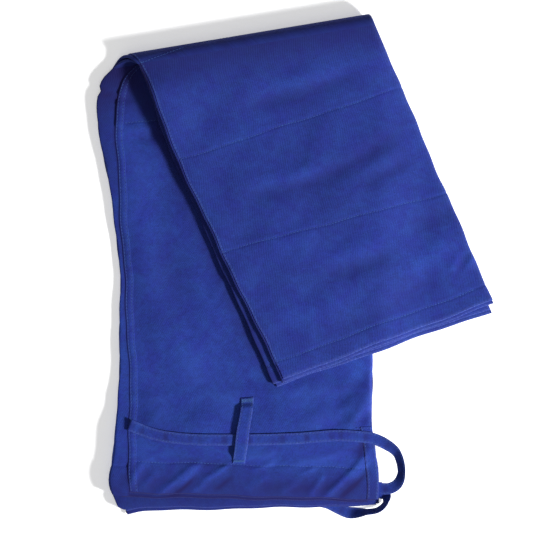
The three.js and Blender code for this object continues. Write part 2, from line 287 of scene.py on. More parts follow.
def thigh_rows(leg, wall, distance):
    """Rows of a thigh, by distance from the wall's waist edge; the casing is even in width."""
    distance = np.asarray(distance, float)
    ends = []
    for edge, cut in zip(THIGH_EDGES, wall.waist):
        near = np.interp(distance, (0, CASING, SLIT), (cut, cut + CASING, edge.length * SLIT / THIGH))
        near = near + np.minimum(distance, 0)
        ends.append(edge.at(np.where(distance < SLIT, near, edge.length * distance / THIGH)))
    radii = tuple(ROLL_HEIGHT - thigh_height(w, distance) for w in (leg.front, leg.back))
    normal = np.tile([0.0, 0.0, -1.0], (len(distance), 1))
    rise = (thigh_height(LEFT.front, distance) - thigh_height(RIGHT.front, distance)) / 2
    own = np.abs(radii[0] - radii[1]) / 2
    parted = smooth(distance, *RISE_ENDS)
    front = (mix(rise, own, parted), QUARTER * smooth(distance, SLIT, SLIT_CLOSED))
    back = (own, QUARTER * smooth(distance, RISE_ENDS[0] + 15, RISE_ENDS[1] + 15))
    seam = seam_inset(leg, distance)
    both = np.stack([distance, distance], axis=-1)
    return Rows("thigh", *ends, normal, radii, seam, both, (front, back))


def roll_rows(leg, share):
    """Rows round the roll, from under it (share 0) to the top of it (share 1)."""
    share = np.asarray(share, float)
    angle = (share - 0.5) * math.pi
    plan = OUTWARD[None, :] * np.cos(angle)[:, None]
    normal = np.column_stack([plan, np.sin(angle)])
    side = ROLL_START + ALONG * mix(*ROLL_LEFT, share)[:, None]
    inner = ROLL_START + ALONG * mix(*ROLL_RIGHT, share)[:, None]
    radii = tuple(np.full(len(share), roll_radius(w)) for w in (leg.front, leg.back))
    curl = (np.full(len(share), LAYER / 2), np.full(len(share), QUARTER))
    seam = mix(seam_inset(leg, THIGH), SEAM_INSET, share)
    distance = np.stack([THIGH + share, THIGH + share], axis=-1)
    return Rows("fold", side, inner, normal, radii, seam, distance, (curl, curl))


def shin_rows(leg, place, cut=0.0):
    """Rows of a shin, by place from the roll to the hem, turned as the stitched rows are."""
    place = np.asarray(place, float)
    distances = [np.interp(place, ROW_PLACES, ends) for ends in (ROW_SIDE, ROW_INNER)]
    over = np.maximum(place - SHIN, 0)
    ends = []
    for edge, distance in zip(SHIN_EDGES[leg.name], distances):
        ends.append(edge.at((distance + over) / SHIN * (edge.length - cut)))
    normal = np.tile([0.0, 0.0, 1.0], (len(place), 1))
    radii = tuple(np.full(len(place), roll_radius(w)) for w in (leg.front, leg.back))
    curl = (np.full(len(place), LAYER / 2), np.full(len(place), QUARTER))
    seam = np.full(len(place), SEAM_INSET)
    return Rows("shin", *ends, normal, radii, seam, np.stack(distances, axis=-1), (curl, curl))


# ---- Folds and hollows of the cloth ----

# Soft ridges (height over 0) and hollows of the thighs, each from one point in plan to
# another: x, y, x, y, width, height.
THIGH_FOLDS = (
    (70, -178, 92, -150, 4.5, -1.3),
    (58, -186, 84, -140, 5.0, 1.2),
    (36, -190, 60, -160, 4.5, -0.9),
    (-214, 190, -180, 178, 4.0, -2.0),
    (-214, 197, -186, 188, 4.5, 1.0),
    (-178, 150, -150, 152, 6.0, 1.4),
    (-180, 138, -148, 142, 6.0, -1.5),
    (-165, -150, -190, 40, 16, -1.9),
    (-150, 30, -195, 150, 18, 2.2),
    (-120, -60, -160, 90, 22, -2.4),
    (-185, -60, -150, -175, 13, 1.5),
    (-60, -170, -130, -100, 18, 1.5),
    (-20, -160, 40, -130, 16, 1.4),
    (70, -150, 10, -175, 9, 1.5),
    (80, -120, 40, -165, 7, -1.2),
)
# Painted shade on the thighs: dark marks where shade falls, under the edge of the shins, beside the slit
# and along the waist, and a painted dark spot for the hole by the slit.
PAINTED_SHADE_PLACES = (
    (-222, 294, -122, 96, 14, -0.5),
    (-160, 160, -20, -150, 8, -0.4),
    (60, -240, 80, -200, 5, -0.3),
    (72, -214, 78, -186, 3.5, -0.6),
    (86, -199.5, 91, -198, 2.0, -0.7),
    (-130, -214, -60, -222, 5, -0.25),
    (-40, -246, 70, -244, 7, -0.25),
)
# Gathers of the waist, from low on the left to high on the right.
WAIST_FOLDS = (
    (-150, -252, -110, -222, 3.0, 2.6),
    (-134, -256, -108, -234, 2.6, -1.8),
    (-124, -242, -102, -218, 2.8, 1.6),
    (-100, -238, -70, -220, 2.8, 2.1),
    (-86, -248, -66, -232, 2.8, -1.4),
    (-112, -250, -96, -240, 2.6, 1.3),
    (-168, -246, -150, -226, 3.0, 1.2),
    (-52, -246, -28, -232, 4.2, 1.0),
    (-14, -250, 6, -238, 4.0, 0.9),
    (18, -254, 34, -232, 3.4, 1.3),
    (36, -256, 80, -210, 3.0, 2.8),
    (50, -258, 82, -228, 2.8, -1.8),
    (62, -236, 84, -214, 2.6, 1.4),
    (6, -232, 26, -222, 2.8, 1.3),
    (-44, -226, -20, -216, 2.8, 1.2),
    (60, -206, 80, -196, 4.0, -1.0),
    (-4, -222, 52, -208, 5.0, 0.9),
    (-186, -252, -168, -222, 4.0, 1.2),
    (-178, -232, -160, -212, 4.4, 1.0),
    (-60, -214, -20, -206, 5.0, 0.8),
)
# Folds of the shins, which lie on top.
SHIN_FOLDS = (
    (-48, 173, 63, 206, 11, -2),
    (-40, 187, 66, 219, 10, 1.2),
    (-48, 74, 28, 92, 10, -1.9),
    (28, 92, 112, 138, 10, -2),
    (-40, 88, 30, 106, 11, 1.4),
    (75, 88, 128, 114, 9, -1.8),
    (40, -12, 106, 10, 10, -1.8),
    (30, 4, 96, 26, 10, 1.2),
    (120, -10, 176, 30, 12, 1.5),
    (130, 40, 176, 62, 12, -1.4),
    (-100, 140, -30, 150, 16, 1.2),
    (-20, -60, 60, -40, 14, 1.1),
    (60, -70, 150, -20, 12, -1.1),
    (-30, 20, 20, 30, 13, 1.1),
)
SHIN_PUCKERS = (
    (172, -8, 182, 12, 3.2, 0.78),
    (182, -6, 192, 14, 3.2, -0.78),
    (192, -4, 201, 16, 3.2, 0.78),
    (204, -6, 209, 12, 3.0, -0.65),
)


def crumples(seed, count, low, high):
    """Small shallow ridges strewn over a rectangle in plan, in a fixed random order."""
    draw = np.random.default_rng(seed)
    x0, y0 = (draw.uniform(low[k], high[k], count) for k in range(2))
    length = draw.uniform(14, 46, count)
    angle = draw.normal(0.45, 0.55, count)
    width = draw.uniform(2.6, 5.5, count)
    height = draw.uniform(0.12, 0.42, count) * draw.choice([-1, 1], count)
    return np.stack([x0, y0, x0 + length * np.cos(angle), y0 + length * np.sin(angle), width,
                     height], axis=-1)


THIGH_CRUMPLES = crumples(3, 90, (-200, -265), (70, 200))
SHIN_CRUMPLES = crumples(8, 80, (-150, -110), (200, 215))


def ridges(x, y, folds):
    """The sum of soft ridges.

    Each is height * exp(-(d / width)^2), with d the distance from its line, and fades out
    over the first and the last quarter of the line.
    """
    total = np.zeros_like(x)
    for x0, y0, x1, y1, width, height in folds:
        run, rise = x1 - x0, y1 - y0
        length = math.hypot(run, rise)
        t = ((x - x0) * run + (y - y0) * rise) / length**2
        d = ((x - x0) * rise - (y - y0) * run) / length
        d = d + 0.08 * length * (t - 0.5) ** 2
        ends = smooth(t, -0.2, 0.25) * (1 - smooth(t, 0.75, 1.2))
        total = total + height * np.exp(-((d / width) ** 2)) * ends
    return total


def before_roll(x, y):
    """How far a place is from the centre of the roll, towards the waist."""
    return -((x - ROLL_START[0]) * OUTWARD[0] + (y - ROLL_START[1]) * OUTWARD[1])


def unevenness(x, y):
    """Slow waves of pressed cloth: a sum of sines of five directions and lengths."""
    waves = ((0.071, 0.026, 0.3, 0.26), (-0.034, 0.058, 1.7, 0.30), (0.112, -0.064, 0.9, 0.16),
             (0.047, 0.121, 2.6, 0.14), (-0.139, -0.051, 4.1, 0.10))
    return sum(high * np.sin(a * x + b * y + phase) for a, b, phase, high in waves)


def thigh_relief(x, y, shares=1.0):
    """Height of a wall of the thighs over its plain form.

    Every wall takes its share of the leg's folds, which fade out before the casing. Only the
    top one has the waist's gathers, which stand up from the drawstring and never dip to it.
    """
    calm = 1 - 0.85 * np.exp(-(((y + 187) / 13) ** 2)) * (x < 95)
    gathers = ridges(x, y, WAIST_FOLDS)
    risen = (gathers + np.sqrt(gathers**2 + 0.2)) / 2 - 0.22
    waist = mix(risen, gathers, smooth(y, -222, -214)) * smooth(shares, 0.8, 1.0)
    near_roll = 1 - smooth(-before_roll(x, y), -36, -12)
    body = ridges(x, y, THIGH_FOLDS) + ridges(x, y, THIGH_CRUMPLES) + unevenness(x, y)
    return (waist + shares * body * calm * smooth(y, -236, -212)) * near_roll


def shin_relief(x, y):
    """Height of the top of the shins over the cloth under them."""
    from_roll = before_roll(x, y)
    total = ridges(x, y, SHIN_FOLDS) + ridges(x, y, SHIN_PUCKERS) + ridges(x, y, SHIN_CRUMPLES)
    total = total + 0.8 * unevenness(x + 40, y - 25)
    return total * smooth(from_roll, 4, 40)


def relief(rows, shares, points, amount):
    """How far cloth points rise. shares are how much of it their wall takes."""
    x, y = points[..., 0], points[..., 1]
    if rows.section == "fold":
        return np.zeros_like(x)
    if rows.section == "thigh":
        return amount * thigh_relief(x, y, shares)
    under = thigh_relief(x, y) * (1 - smooth(x, 55, 85)) * smooth(before_roll(x, y), 12, 40)
    return amount * (under + lip(rows, x, y) + (0.25 + 0.75 * shares) * shin_relief(x, y))


def painted_shading_of(rows, reach, points):
    """Painted shade and painted highlight, as a shift of the colour: under 0, darker, in hollows,
    along folded edges, on the turned casing, near the roll and in the listed places, where shade falls;
    over 0, lighter, on the ridges, where light falls."""
    x, y = points[..., 0], points[..., 1]
    # The roll is painted darker all round, least at its top.
    if rows.section == "fold":
        share = (rows.distance[:, :1] - THIGH) * np.ones_like(x)
        return -0.75 + 0.25 * share
    # On the thighs: painted highlight on ridges, and painted shade in hollows, along the side edge near
    # the roll, on the casing, at the side seam, near the roll and in the listed places.
    if rows.section == "thigh":
        ridge = ridges(x, y, THIGH_FOLDS) * 0.10 + ridges(x, y, WAIST_FOLDS) * 0.3
        side = smooth(y, 20, 160) * (1 - smooth(np.abs(reach), 4, 45))
        casing = 1 - smooth(rows.distance[:, :1], 5, 50)
        near_seam = np.exp(-(((reach - seams_of(rows)[:, None]) / 1.5) ** 2))
        end = 1 - smooth(before_roll(x, y), 10, 70)
        ridge = ridge + ridges(x, y, PAINTED_SHADE_PLACES)
        return np.clip(ridge, -0.75, 0.4) - 0.5 * side - 0.55 * casing - 0.4 * end - 0.5 * near_seam
    # On the shins: painted highlight on ridges, and painted shade in hollows, a little all over, near the
    # roll and along the side fold.
    ridge = ridges(x, y, SHIN_FOLDS) * 0.13 + ridges(x, y, SHIN_PUCKERS) * 0.2
    roll = 1 - smooth(before_roll(x, y), -8, 46)
    edge = np.exp(-((reach / 3.0) ** 2))
    return np.clip(ridge, -0.35, 0.3) - 0.21 - 0.5 * roll - 0.6 * edge


def lip(rows, x, y):
    """The shins stand up at their side edge beside the roll: a hump along it that fades inwards."""
    far = np.hypot(x - rows.side[:, :1], y - rows.side[:, 1:])
    place = before_roll(x, y)
    hump = smooth(place, 4, 40) * (1 - smooth(place, 45, 150))
    return LIP * hump * np.exp(-((far / LIP_WIDTH) ** 2))


def waist_puff(leg, rows, back_share, amount):
    """How the casings stand up: the left front between its edge and its stitching, and the
    right back in a soft roll along its edge, where nothing lies on it."""
    place = rows.distance[:, :1]
    if leg is LEFT:
        between = np.clip(place / CASING, 0, 1)
        return 1.3 * amount * np.sin(math.pi * between) ** 0.8 * (1 - back_share)
    return 3.0 * np.exp(-(((place - 5.5) / 4.6) ** 2)) * back_share


def cloth(leg, rows, reach, out, amount=1.0, groove=0.0):
    """Points of a leg's cloth, one for each row and column.

    reach is how far a point is round the leg from the side fold: over 0 on the front wall,
    under 0 on the back wall. out is how far it is outside the middle of the wall. The side
    fold is a half turn of radius (front - back) / 2. At the inner edge each wall turns by an
    arc towards the other one. groove is how far the cloth is drawn in, as by a stitched row.
    """
    reach, out = np.broadcast_arrays(np.asarray(reach, float), out)
    out = out - groove
    front, back = (radius[:, None] for radius in rows.radii)
    turn = np.abs(front - back) / 2
    side = np.sign(front - back)
    angle = np.clip(reach / turn, -QUARTER, QUARTER)
    beyond = np.maximum(0, np.abs(reach) - turn * QUARTER)
    inward = HALF + turn - (turn + out) * np.cos(angle) + beyond
    height = (front + back) / 2 + side * (turn + out) * np.sin(angle)

    across = rows.inner - rows.side
    width = np.linalg.norm(across, axis=1, keepdims=True)
    is_front = reach > 0
    curl_radius, curl_angle = (
        np.where(is_front, rows.curls[0][k][:, None], rows.curls[1][k][:, None]) for k in range(2)
    )
    arc = curl_length(curl_radius, curl_angle)
    excess = np.clip(inward - (width - curl_radius), 0, arc)
    bend = np.maximum(curl_angle, 1e-3)
    radius = arc / bend
    phi = bend * excess / arc
    way = np.where(is_front, side, -side)
    on_curl = excess > 0
    curled = width - curl_radius + (radius + out) * np.sin(phi)
    inward = np.where(on_curl, curled, inward)
    height = np.where(on_curl, height - way * (radius + out) * (1 - np.cos(phi)), height)

    plan = rows.side[:, None, :] + (across / width)[:, None, :] * inward[..., None]
    points = np.concatenate([plan, np.zeros_like(plan[..., :1])], axis=-1)
    points = points + rows.normal[:, None, :] * height[..., None]
    points[..., 2] += ROLL_HEIGHT
    if rows.section == "shin":
        distance = mix(rows.distance[:, :1], rows.distance[:, 1:], np.clip(inward / width, 0, 1))
        points[..., 2] -= SETTLE * smooth(distance, 0, SETTLE_END)
        points[..., 2] -= DROOP * smooth(points[..., 0], *DROOP_ENDS)
    levels = [(3 - w.order) / 3 for w in (leg.front, leg.back)]
    if rows.section == "shin":
        levels = [1 - level for level in levels]
    share = mix(levels[1], levels[0], (1 + np.sin(angle)) / 2)
    points[..., 2] += relief(rows, share, points, amount)
    points[..., :2] += drift(leg, points)
    if rows.section == "thigh":
        points[..., 2] += waist_puff(leg, rows, (1 - np.sin(angle)) / 2, amount)
        points[..., 1] += corner_rise(leg, rows, inward)
    return points


def drift(leg, points):
    """How far cloth has crept in plan: slow waves, which are still at the roll."""
    x, y = points[..., 0] + DRIFT_PHASE[leg.name], points[..., 1]
    along = 0.6 * np.sin(0.061 * y + 0.021 * x) + 0.4 * np.sin(0.137 * y - 0.05 * x + 1.3)
    down = 0.55 * np.sin(0.052 * x + 0.4) + 0.45 * np.sin(0.119 * x - 0.03 * y + 2.2)
    free = smooth(before_roll(points[..., 0], y), 12, 60)[..., None]
    crept = np.stack([along, down], axis=-1) * free
    for px, py, reach_x, reach_y, shift_x, shift_y in CREPT_PLACES[leg.name]:
        near = np.exp(-(((points[..., 0] - px) / reach_x) ** 2) - ((y - py) / reach_y) ** 2)
        crept = crept + near[..., None] * np.array([shift_x, shift_y])
    return crept


def corner_rise(leg, rows, inward):
    """How far the waist draws back at its side corner: a quarter circle in plan, which fades
    out towards the leg."""
    radius = CORNERS[leg.name]
    near = np.clip(1 - inward / radius, 0, 0.98)
    return radius * (1 - np.sqrt(1 - near**2)) * (1 - smooth(rows.distance[:, :1], 0, 2.2 * radius))


def curl_length(radius, angle):
    """Length of cloth in the arc of an inner edge; it is just the radius where it lies flat."""
    return radius * (1 + (QUARTER - 1) * (angle / QUARTER) ** 2)


def curl_start(rows, front=True):
    """Reach at which the arc of a wall's inner edge starts."""
    turn = np.abs(rows.radii[0] - rows.radii[1]) / 2
    width = np.linalg.norm(rows.inner - rows.side, axis=1)
    radius = rows.curls[0 if front else 1][0]
    return width - radius - HALF - turn + turn * QUARTER


def row_width(rows):
    """Width of each row from edge to edge."""
    return np.linalg.norm(rows.inner - rows.side, axis=1)


# ---- Grids and meshes ----


def steps(start, stop, size):
    """Even steps of about this size."""
    return np.linspace(start, stop, max(2, int(round(abs(stop - start) / size)) + 1))


def with_lines(places, lines, offsets=FINE, clear=0.55):
    """Grid places with finer ones beside each line, and none too close to another."""
    low, high = places[0], places[-1]
    fine = [line + offset for line in lines for offset in offsets if low < line + offset < high]
    if not fine:
        return places
    fine = np.array(fine)
    span = max(offsets) + 1.5
    far = [p for p in places if all(abs(p - line) > span for line in lines)]
    kept = np.unique(np.concatenate([[low, high], far, fine]))
    apart = np.concatenate([[True], np.diff(kept) > clear])
    apart[-1] = True
    return kept[apart]


def dips(value, lines, depth=GROOVE, width=GROOVE_WIDTH):
    """How deep the cloth is drawn in by stitched rows: depth * exp(-(d / width)^2) each."""
    total = np.zeros_like(value)
    for line in lines:
        total = total + depth * np.exp(-(((value - line) / width) ** 2))
    return total


def shell_faces(lines, columns):
    """Corners of the faces that close two grids of points, the first one outside."""
    count = lines * columns
    index = np.arange(count).reshape(lines, columns)
    a, b, c, d = index[:-1, :-1], index[:-1, 1:], index[1:, 1:], index[1:, :-1]
    top = np.stack([a, b, c, d], axis=-1).reshape(-1, 4)
    bottom = np.stack([d, c, b, a], axis=-1).reshape(-1, 4) + count
    loop = np.concatenate([index[0, :-1], index[:-1, -1], index[-1, :0:-1], index[:0:-1, 0]])
    after = np.roll(loop, -1)
    rim = np.stack([after, loop, loop + count, after + count], axis=-1)
    return np.concatenate([top, bottom, rim])


def volume_of(points, faces):
    """Six times the volume inside quads: the sum of corner products of their triangles."""
    a, b, c, d = (points[faces[:, k]] for k in range(4))
    return (a * np.cross(b, c)).sum() + (a * np.cross(c, d)).sum()


def add_mesh(name, points, faces, material, maps=None, wear=None, crease=50, painted_shading=None):
    """A finished mesh object from points in millimetres and faces of four corners."""
    mesh = bpy.data.meshes.new(name)
    mesh.vertices.add(len(points))
    mesh.vertices.foreach_set("co", (points * MM).astype(np.float32).ravel())
    triangle = faces[:, 2] == faces[:, 3]
    sizes = np.where(triangle, 3, 4)
    keep = np.column_stack([np.ones((len(faces), 3), bool), ~triangle])
    corners = faces[keep]
    mesh.loops.add(len(corners))
    mesh.loops.foreach_set("vertex_index", corners.astype(np.int32))
    mesh.polygons.add(len(faces))
    starts = np.concatenate([[0], np.cumsum(sizes)[:-1]])
    mesh.polygons.foreach_set("loop_start", starts.astype(np.int32))
    mesh.update(calc_edges=True)
    mesh.polygons.foreach_set("use_smooth", np.ones(len(faces), bool))
    mesh.set_sharp_from_angle(angle=math.radians(crease))
    if maps is not None:
        layer = mesh.uv_layers.new(name="Cloth")
        layer.data.foreach_set("uv", (maps[corners] * MM).astype(np.float32).ravel())
    # The second attribute holds painted shade and painted highlight; wear is the cloth's own worn colour.
    for title, values in (("wear", wear), ("painted_shading", painted_shading)):
        if values is not None:
            attribute = mesh.attributes.new(title, "FLOAT", "POINT")
            attribute.data.foreach_set("value", values.astype(np.float32))
    mesh.materials.append(material)
    mesh.validate()
    obj = bpy.data.objects.new(name, mesh)
    bpy.context.scene.collection.objects.link(obj)
    return obj


def add_shell(name, outside, inside, material, maps, wear=None, crease=50, painted_shading=None):
    """A closed sheet between two grids of points, turned to face outwards."""
    lines, columns = outside.shape[:2]
    points = np.concatenate([outside.reshape(-1, 3), inside.reshape(-1, 3)])
    faces = shell_faces(lines, columns)
    if volume_of(points, faces) < 0:
        faces = faces[:, ::-1]
    maps = maps.reshape(-1, 2)
    worn = np.zeros((lines, columns)) if wear is None else wear
    painted_field = np.zeros((lines, columns)) if painted_shading is None else painted_shading
    both = [np.tile(values.ravel(), 2) for values in (worn, painted_field)]
    return add_mesh(name, points, faces, material, np.concatenate([maps, maps]), both[0], crease,
                    both[1])


def cloth_maps(rows, reach):
    """Cloth coordinates: reach across and distance along."""
    share = np.clip(np.abs(reach) / row_width(rows)[:, None], 0, 1)
    return np.stack([reach, mix(rows.distance[:, :1], rows.distance[:, 1:], share)], axis=-1)


# ---- Bodies ----

BODIES = {"thigh": "seat_and_thighs", "shin": "shins"}


def settle_piece(obj, section, slot, nodes=(), radius=None, inner=HALF):
    """Puts a piece on its body, or across the fold, and hides the nodes it replaces; its slot is not used.
    """
    if nodes:
        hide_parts(*nodes)
    if section == "fold":
        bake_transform(obj)
    else:
        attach(obj, BODIES[section])
    return obj


# ---- Materials ----


def new_group(name, inputs, outputs):
    """A shader node group with these sockets, and its input and output nodes."""
    group = bpy.data.node_groups.new(name, "ShaderNodeTree")
    for title, kind, value in inputs:
        socket = group.interface.new_socket(title, in_out="INPUT", socket_type=kind)
        if value is not None:
            socket.default_value = value
    for title, kind in outputs:
        group.interface.new_socket(title, in_out="OUTPUT", socket_type=kind)
    return group, group.nodes.new("NodeGroupInput"), group.nodes.new("NodeGroupOutput")


def put(nodes, links, kind, values=None, wires=None, **settings):
    """Adds a node, sets its socket values and joins its inputs."""
    node = nodes.new(kind)
    for key, value in settings.items():
        setattr(node, key, value)
    for key, value in (values or {}).items():
        node.inputs[key].default_value = value
    for key, output in (wires or {}).items():
        links.new(output, node.inputs[key])
    return node


DEEP_HUE = (0.98, 0.76, 0.94)  # what the colour is multiplied by where the cloth took more dye
PALE_HUE = (1.02, 1.20, 1.03)  # and where it took less


def reckon(nodes, links, operation, *parts, clamp=False):
    """The output of a Math node on these numbers and outputs."""
    node = nodes.new("ShaderNodeMath")
    node.operation = operation
    node.use_clamp = clamp
    for socket, part in zip(node.inputs, parts):
        if isinstance(part, (int, float)):
            socket.default_value = part
        else:
            links.new(part, socket)
    return node.outputs[0]


def noise(nodes, links, vector, **values):
    """The output of a noise texture at these coordinates; values are its sockets by name."""
    sockets = {name.title(): value for name, value in values.items()}
    return put(nodes, links, "ShaderNodeTexNoise", sockets, {"Vector": vector}).outputs["Fac"]


def weave_group():
    """Twill weave: slanting ribs, the yarns across them, slubs, slow colour change and patches
    that took more dye or less."""
    group, start, end = new_group(
        "Drill weave",
        [("Vector", "NodeSocketVector", None), ("Colour", "NodeSocketColor", (0.03, 0.05, 0.3, 1)),
         ("Rib", "NodeSocketFloat", 1.25), ("Depth", "NodeSocketFloat", 1.0),
         ("Variation", "NodeSocketFloat", 1.0)],
        [("Colour", "NodeSocketColor"), ("Roughness", "NodeSocketFloat"), ("Height", "NodeSocketFloat")],
    )
    nodes, links = group.nodes, group.links
    given = start.outputs
    at = put(nodes, links, "ShaderNodeVectorMath", {1: (1000, 1000, 1000)},
             {0: given["Vector"]}, operation="MULTIPLY").outputs[0]
    wobble = noise(nodes, links, at, scale=0.22, detail=3.0)
    yarn = noise(nodes, links, at, scale=0.6, detail=4.0, roughness=0.75)
    slub = noise(nodes, links, at, scale=0.16, detail=4.0, roughness=0.6)
    slow = noise(nodes, links, at, scale=0.018, detail=3.0)
    cloud = noise(nodes, links, at, scale=0.045, detail=6.0, roughness=0.62, distortion=0.6)

    parts = put(nodes, links, "ShaderNodeSeparateXYZ", None, {0: at}).outputs
    slant = reckon(nodes, links, "MULTIPLY_ADD", parts["Y"], 0.55, parts["X"])
    place = reckon(nodes, links, "MULTIPLY_ADD", wobble, 1.6, slant)
    turns = reckon(nodes, links, "DIVIDE", place, given["Rib"])
    rib = reckon(nodes, links, "SINE", reckon(nodes, links, "MULTIPLY", turns, 2 * math.pi))

    height = reckon(nodes, links, "MULTIPLY_ADD", yarn, 1.4, reckon(nodes, links, "MULTIPLY", rib, 0.5))
    deep = reckon(nodes, links, "MULTIPLY", height, given["Depth"])

    total = reckon(nodes, links, "MULTIPLY", rib, 0.05)
    for tone, amount in ((yarn, 1.5), (slub, 0.8), (slow, 0.5)):
        centred = reckon(nodes, links, "SUBTRACT", tone, 0.5)
        total = reckon(nodes, links, "MULTIPLY_ADD", centred, amount, total)
    bright = reckon(nodes, links, "MULTIPLY_ADD", total, given["Variation"], 1.0)
    toned = put(nodes, links, "ShaderNodeVectorMath", None,
                {0: given["Colour"], "Scale": bright}, operation="SCALE")
    taken = put(nodes, links, "ShaderNodeMapRange", {"From Min": 0.36, "From Max": 0.64}, {"Value": cloud})
    hue = put(nodes, links, "ShaderNodeMix", {6: (*DEEP_HUE, 1), 7: (*PALE_HUE, 1)},
              {0: taken.outputs[0]}, data_type="RGBA")
    tinted = put(nodes, links, "ShaderNodeVectorMath", None,
                 {0: toned.outputs[0], 1: hue.outputs[2]}, operation="MULTIPLY")
    links.new(tinted.outputs[0], end.inputs["Colour"])
    links.new(reckon(nodes, links, "MULTIPLY_ADD", slub, 0.12, 0.78), end.inputs["Roughness"])
    links.new(deep, end.inputs["Height"])
    return group


def wear_group():
    """Wear: worn places, broken up by noise, get a lighter, greyer colour."""
    group, start, end = new_group(
        "Edge wear",
        [("Colour", "NodeSocketColor", (0.03, 0.05, 0.3, 1)), ("Worn", "NodeSocketFloat", 0.0),
         ("Worn Colour", "NodeSocketColor", (0.09, 0.13, 0.42, 1)), ("Vector", "NodeSocketVector", None)],
        [("Colour", "NodeSocketColor"), ("Mask", "NodeSocketFloat")],
    )
    nodes, links = group.nodes, group.links
    rub = noise(nodes, links, start.outputs["Vector"], scale=420.0, detail=4.0, roughness=0.7)
    patchy = put(nodes, links, "ShaderNodeMapRange",
                 {"From Min": 0.38, "From Max": 0.66, "To Min": 0.1, "To Max": 1.0}, {"Value": rub})
    mask = reckon(nodes, links, "MULTIPLY", patchy.outputs[0], start.outputs["Worn"], clamp=True)
    colour = put(nodes, links, "ShaderNodeMix", None,
                 {0: mask, 6: start.outputs["Colour"], 7: start.outputs["Worn Colour"]},
                 data_type="RGBA")
    links.new(colour.outputs[2], end.inputs["Colour"])
    links.new(mask, end.inputs["Mask"])
    return group


def painted_shading_group():
    """Painted shading: a darker colour (painted shade) where the shade is under 0 and a lighter one
    (painted highlight) where it is over 0.
    """
    group, start, end = new_group(
        "Painted shading",
        [("Colour", "NodeSocketColor", (0.03, 0.05, 0.3, 1)), ("Shade", "NodeSocketFloat", 0.0),
         ("Shade colour", "NodeSocketColor", (0.008, 0.0075, 0.085, 1)),
         ("Highlight colour", "NodeSocketColor", (0.030, 0.075, 0.38, 1))],
        [("Colour", "NodeSocketColor")],
    )
    nodes, links = group.nodes, group.links
    under = reckon(nodes, links, "MULTIPLY", start.outputs["Shade"], -1.0, clamp=True)
    over = reckon(nodes, links, "MULTIPLY", start.outputs["Shade"], 1.0, clamp=True)
    darkened = put(nodes, links, "ShaderNodeMix", None,
                 {0: under, 6: start.outputs["Colour"], 7: start.outputs["Shade colour"]},
                 data_type="RGBA")
    lightened = put(nodes, links, "ShaderNodeMix", None,
                {0: over, 6: darkened.outputs[2], 7: start.outputs["Highlight colour"]},
                data_type="RGBA")
    links.new(lightened.outputs[2], end.inputs["Colour"])
    return group


def fabric(name, colour, rib, depth, variation, sheen, worn=0.5, bump=0.22):
    """A woven material: weave, wear along the edges and a matt, slightly hairy surface."""
    material = bpy.data.materials.new(name)
    material.use_nodes = True
    nodes, links = material.node_tree.nodes, material.node_tree.links
    shader = nodes["Principled BSDF"]
    where = put(nodes, links, "ShaderNodeUVMap", uv_map="Cloth")
    weave = put(nodes, links, "ShaderNodeGroup", None, None, node_tree=bpy.data.node_groups["Drill weave"])
    weave.inputs["Colour"].default_value = (*colour, 1)
    weave.inputs["Rib"].default_value = rib
    weave.inputs["Depth"].default_value = depth
    weave.inputs["Variation"].default_value = variation
    links.new(where.outputs[0], weave.inputs["Vector"])
    used = put(nodes, links, "ShaderNodeAttribute", attribute_name="wear")
    amount = put(nodes, links, "ShaderNodeMath", {1: worn}, {0: used.outputs["Fac"]}, operation="MULTIPLY")
    wear = put(nodes, links, "ShaderNodeGroup", None, None, node_tree=bpy.data.node_groups["Edge wear"])
    # Painted shade and painted highlight, read from the mesh's per-point attribute.
    painted_field = put(nodes, links, "ShaderNodeAttribute", attribute_name="painted_shading")
    painted_shading = put(nodes, links, "ShaderNodeGroup", None, None, node_tree=bpy.data.node_groups["Painted shading"])
    links.new(weave.outputs["Colour"], painted_shading.inputs["Colour"])
    links.new(painted_field.outputs["Fac"], painted_shading.inputs["Shade"])
    links.new(painted_shading.outputs["Colour"], wear.inputs["Colour"])
    links.new(amount.outputs[0], wear.inputs["Worn"])
    links.new(where.outputs[0], wear.inputs["Vector"])
    relief_node = put(nodes, links, "ShaderNodeBump", {"Strength": bump, "Distance": 0.0006},
                      {"Height": weave.outputs["Height"]})
    links.new(wear.outputs["Colour"], shader.inputs["Base Color"])
    links.new(weave.outputs["Roughness"], shader.inputs["Roughness"])
    links.new(relief_node.outputs[0], shader.inputs["Normal"])
    shader.inputs["Specular IOR Level"].default_value = 0.2
    shader.inputs["Sheen Weight"].default_value = sheen
    shader.inputs["Sheen Roughness"].default_value = 0.6
    shader.inputs["Sheen Tint"].default_value = (0.35, 0.45, 1, 1)
    return material


def finishes(settings):
    """The materials, made once."""
    if "Drill weave" not in bpy.data.node_groups:
        weave_group()
        wear_group()
        painted_shading_group()
        main, thread = settings.cloth_colour, settings.thread_colour
        fabric("Cotton drill", main, 1.9, 1.0, 1.0, 0.05)
        fabric("Knee patch drill", main, 2.0, 1.0, 0.9, 0.05)
        fabric("Turned drill", main, 1.9, 1.0, 1.1, 0.05)
        fabric("Loop drill", main, 1.7, 1.0, 1.0, 0.05, 0.45)
        fabric("Drawstring tape", main, 1.6, 1.2, 1.1, 0.05, 0.35)
        fabric("Sewing thread", thread, 0.45, 0.8, 0.8, 0.05, 0.0)
    return bpy.data.materials


# ---- Cloth pieces ----

SHIN_SEAM = 3.2  # of the shins' side seam from their side fold
HEM_JOIN = 355.0  # where the turned hem takes over from the panel
EDGE = 1.45  # radius, with half its thickness, of the turned waist edge
TURNED = (0.0, -2.1)  # middles of the outer and the inner cloth of the casing
WEAR_WIDTH = 2.2  # of the worn cloth along an edge
PATCH_SIDES = (HALF + GAP, HALF + GAP + PATCH)


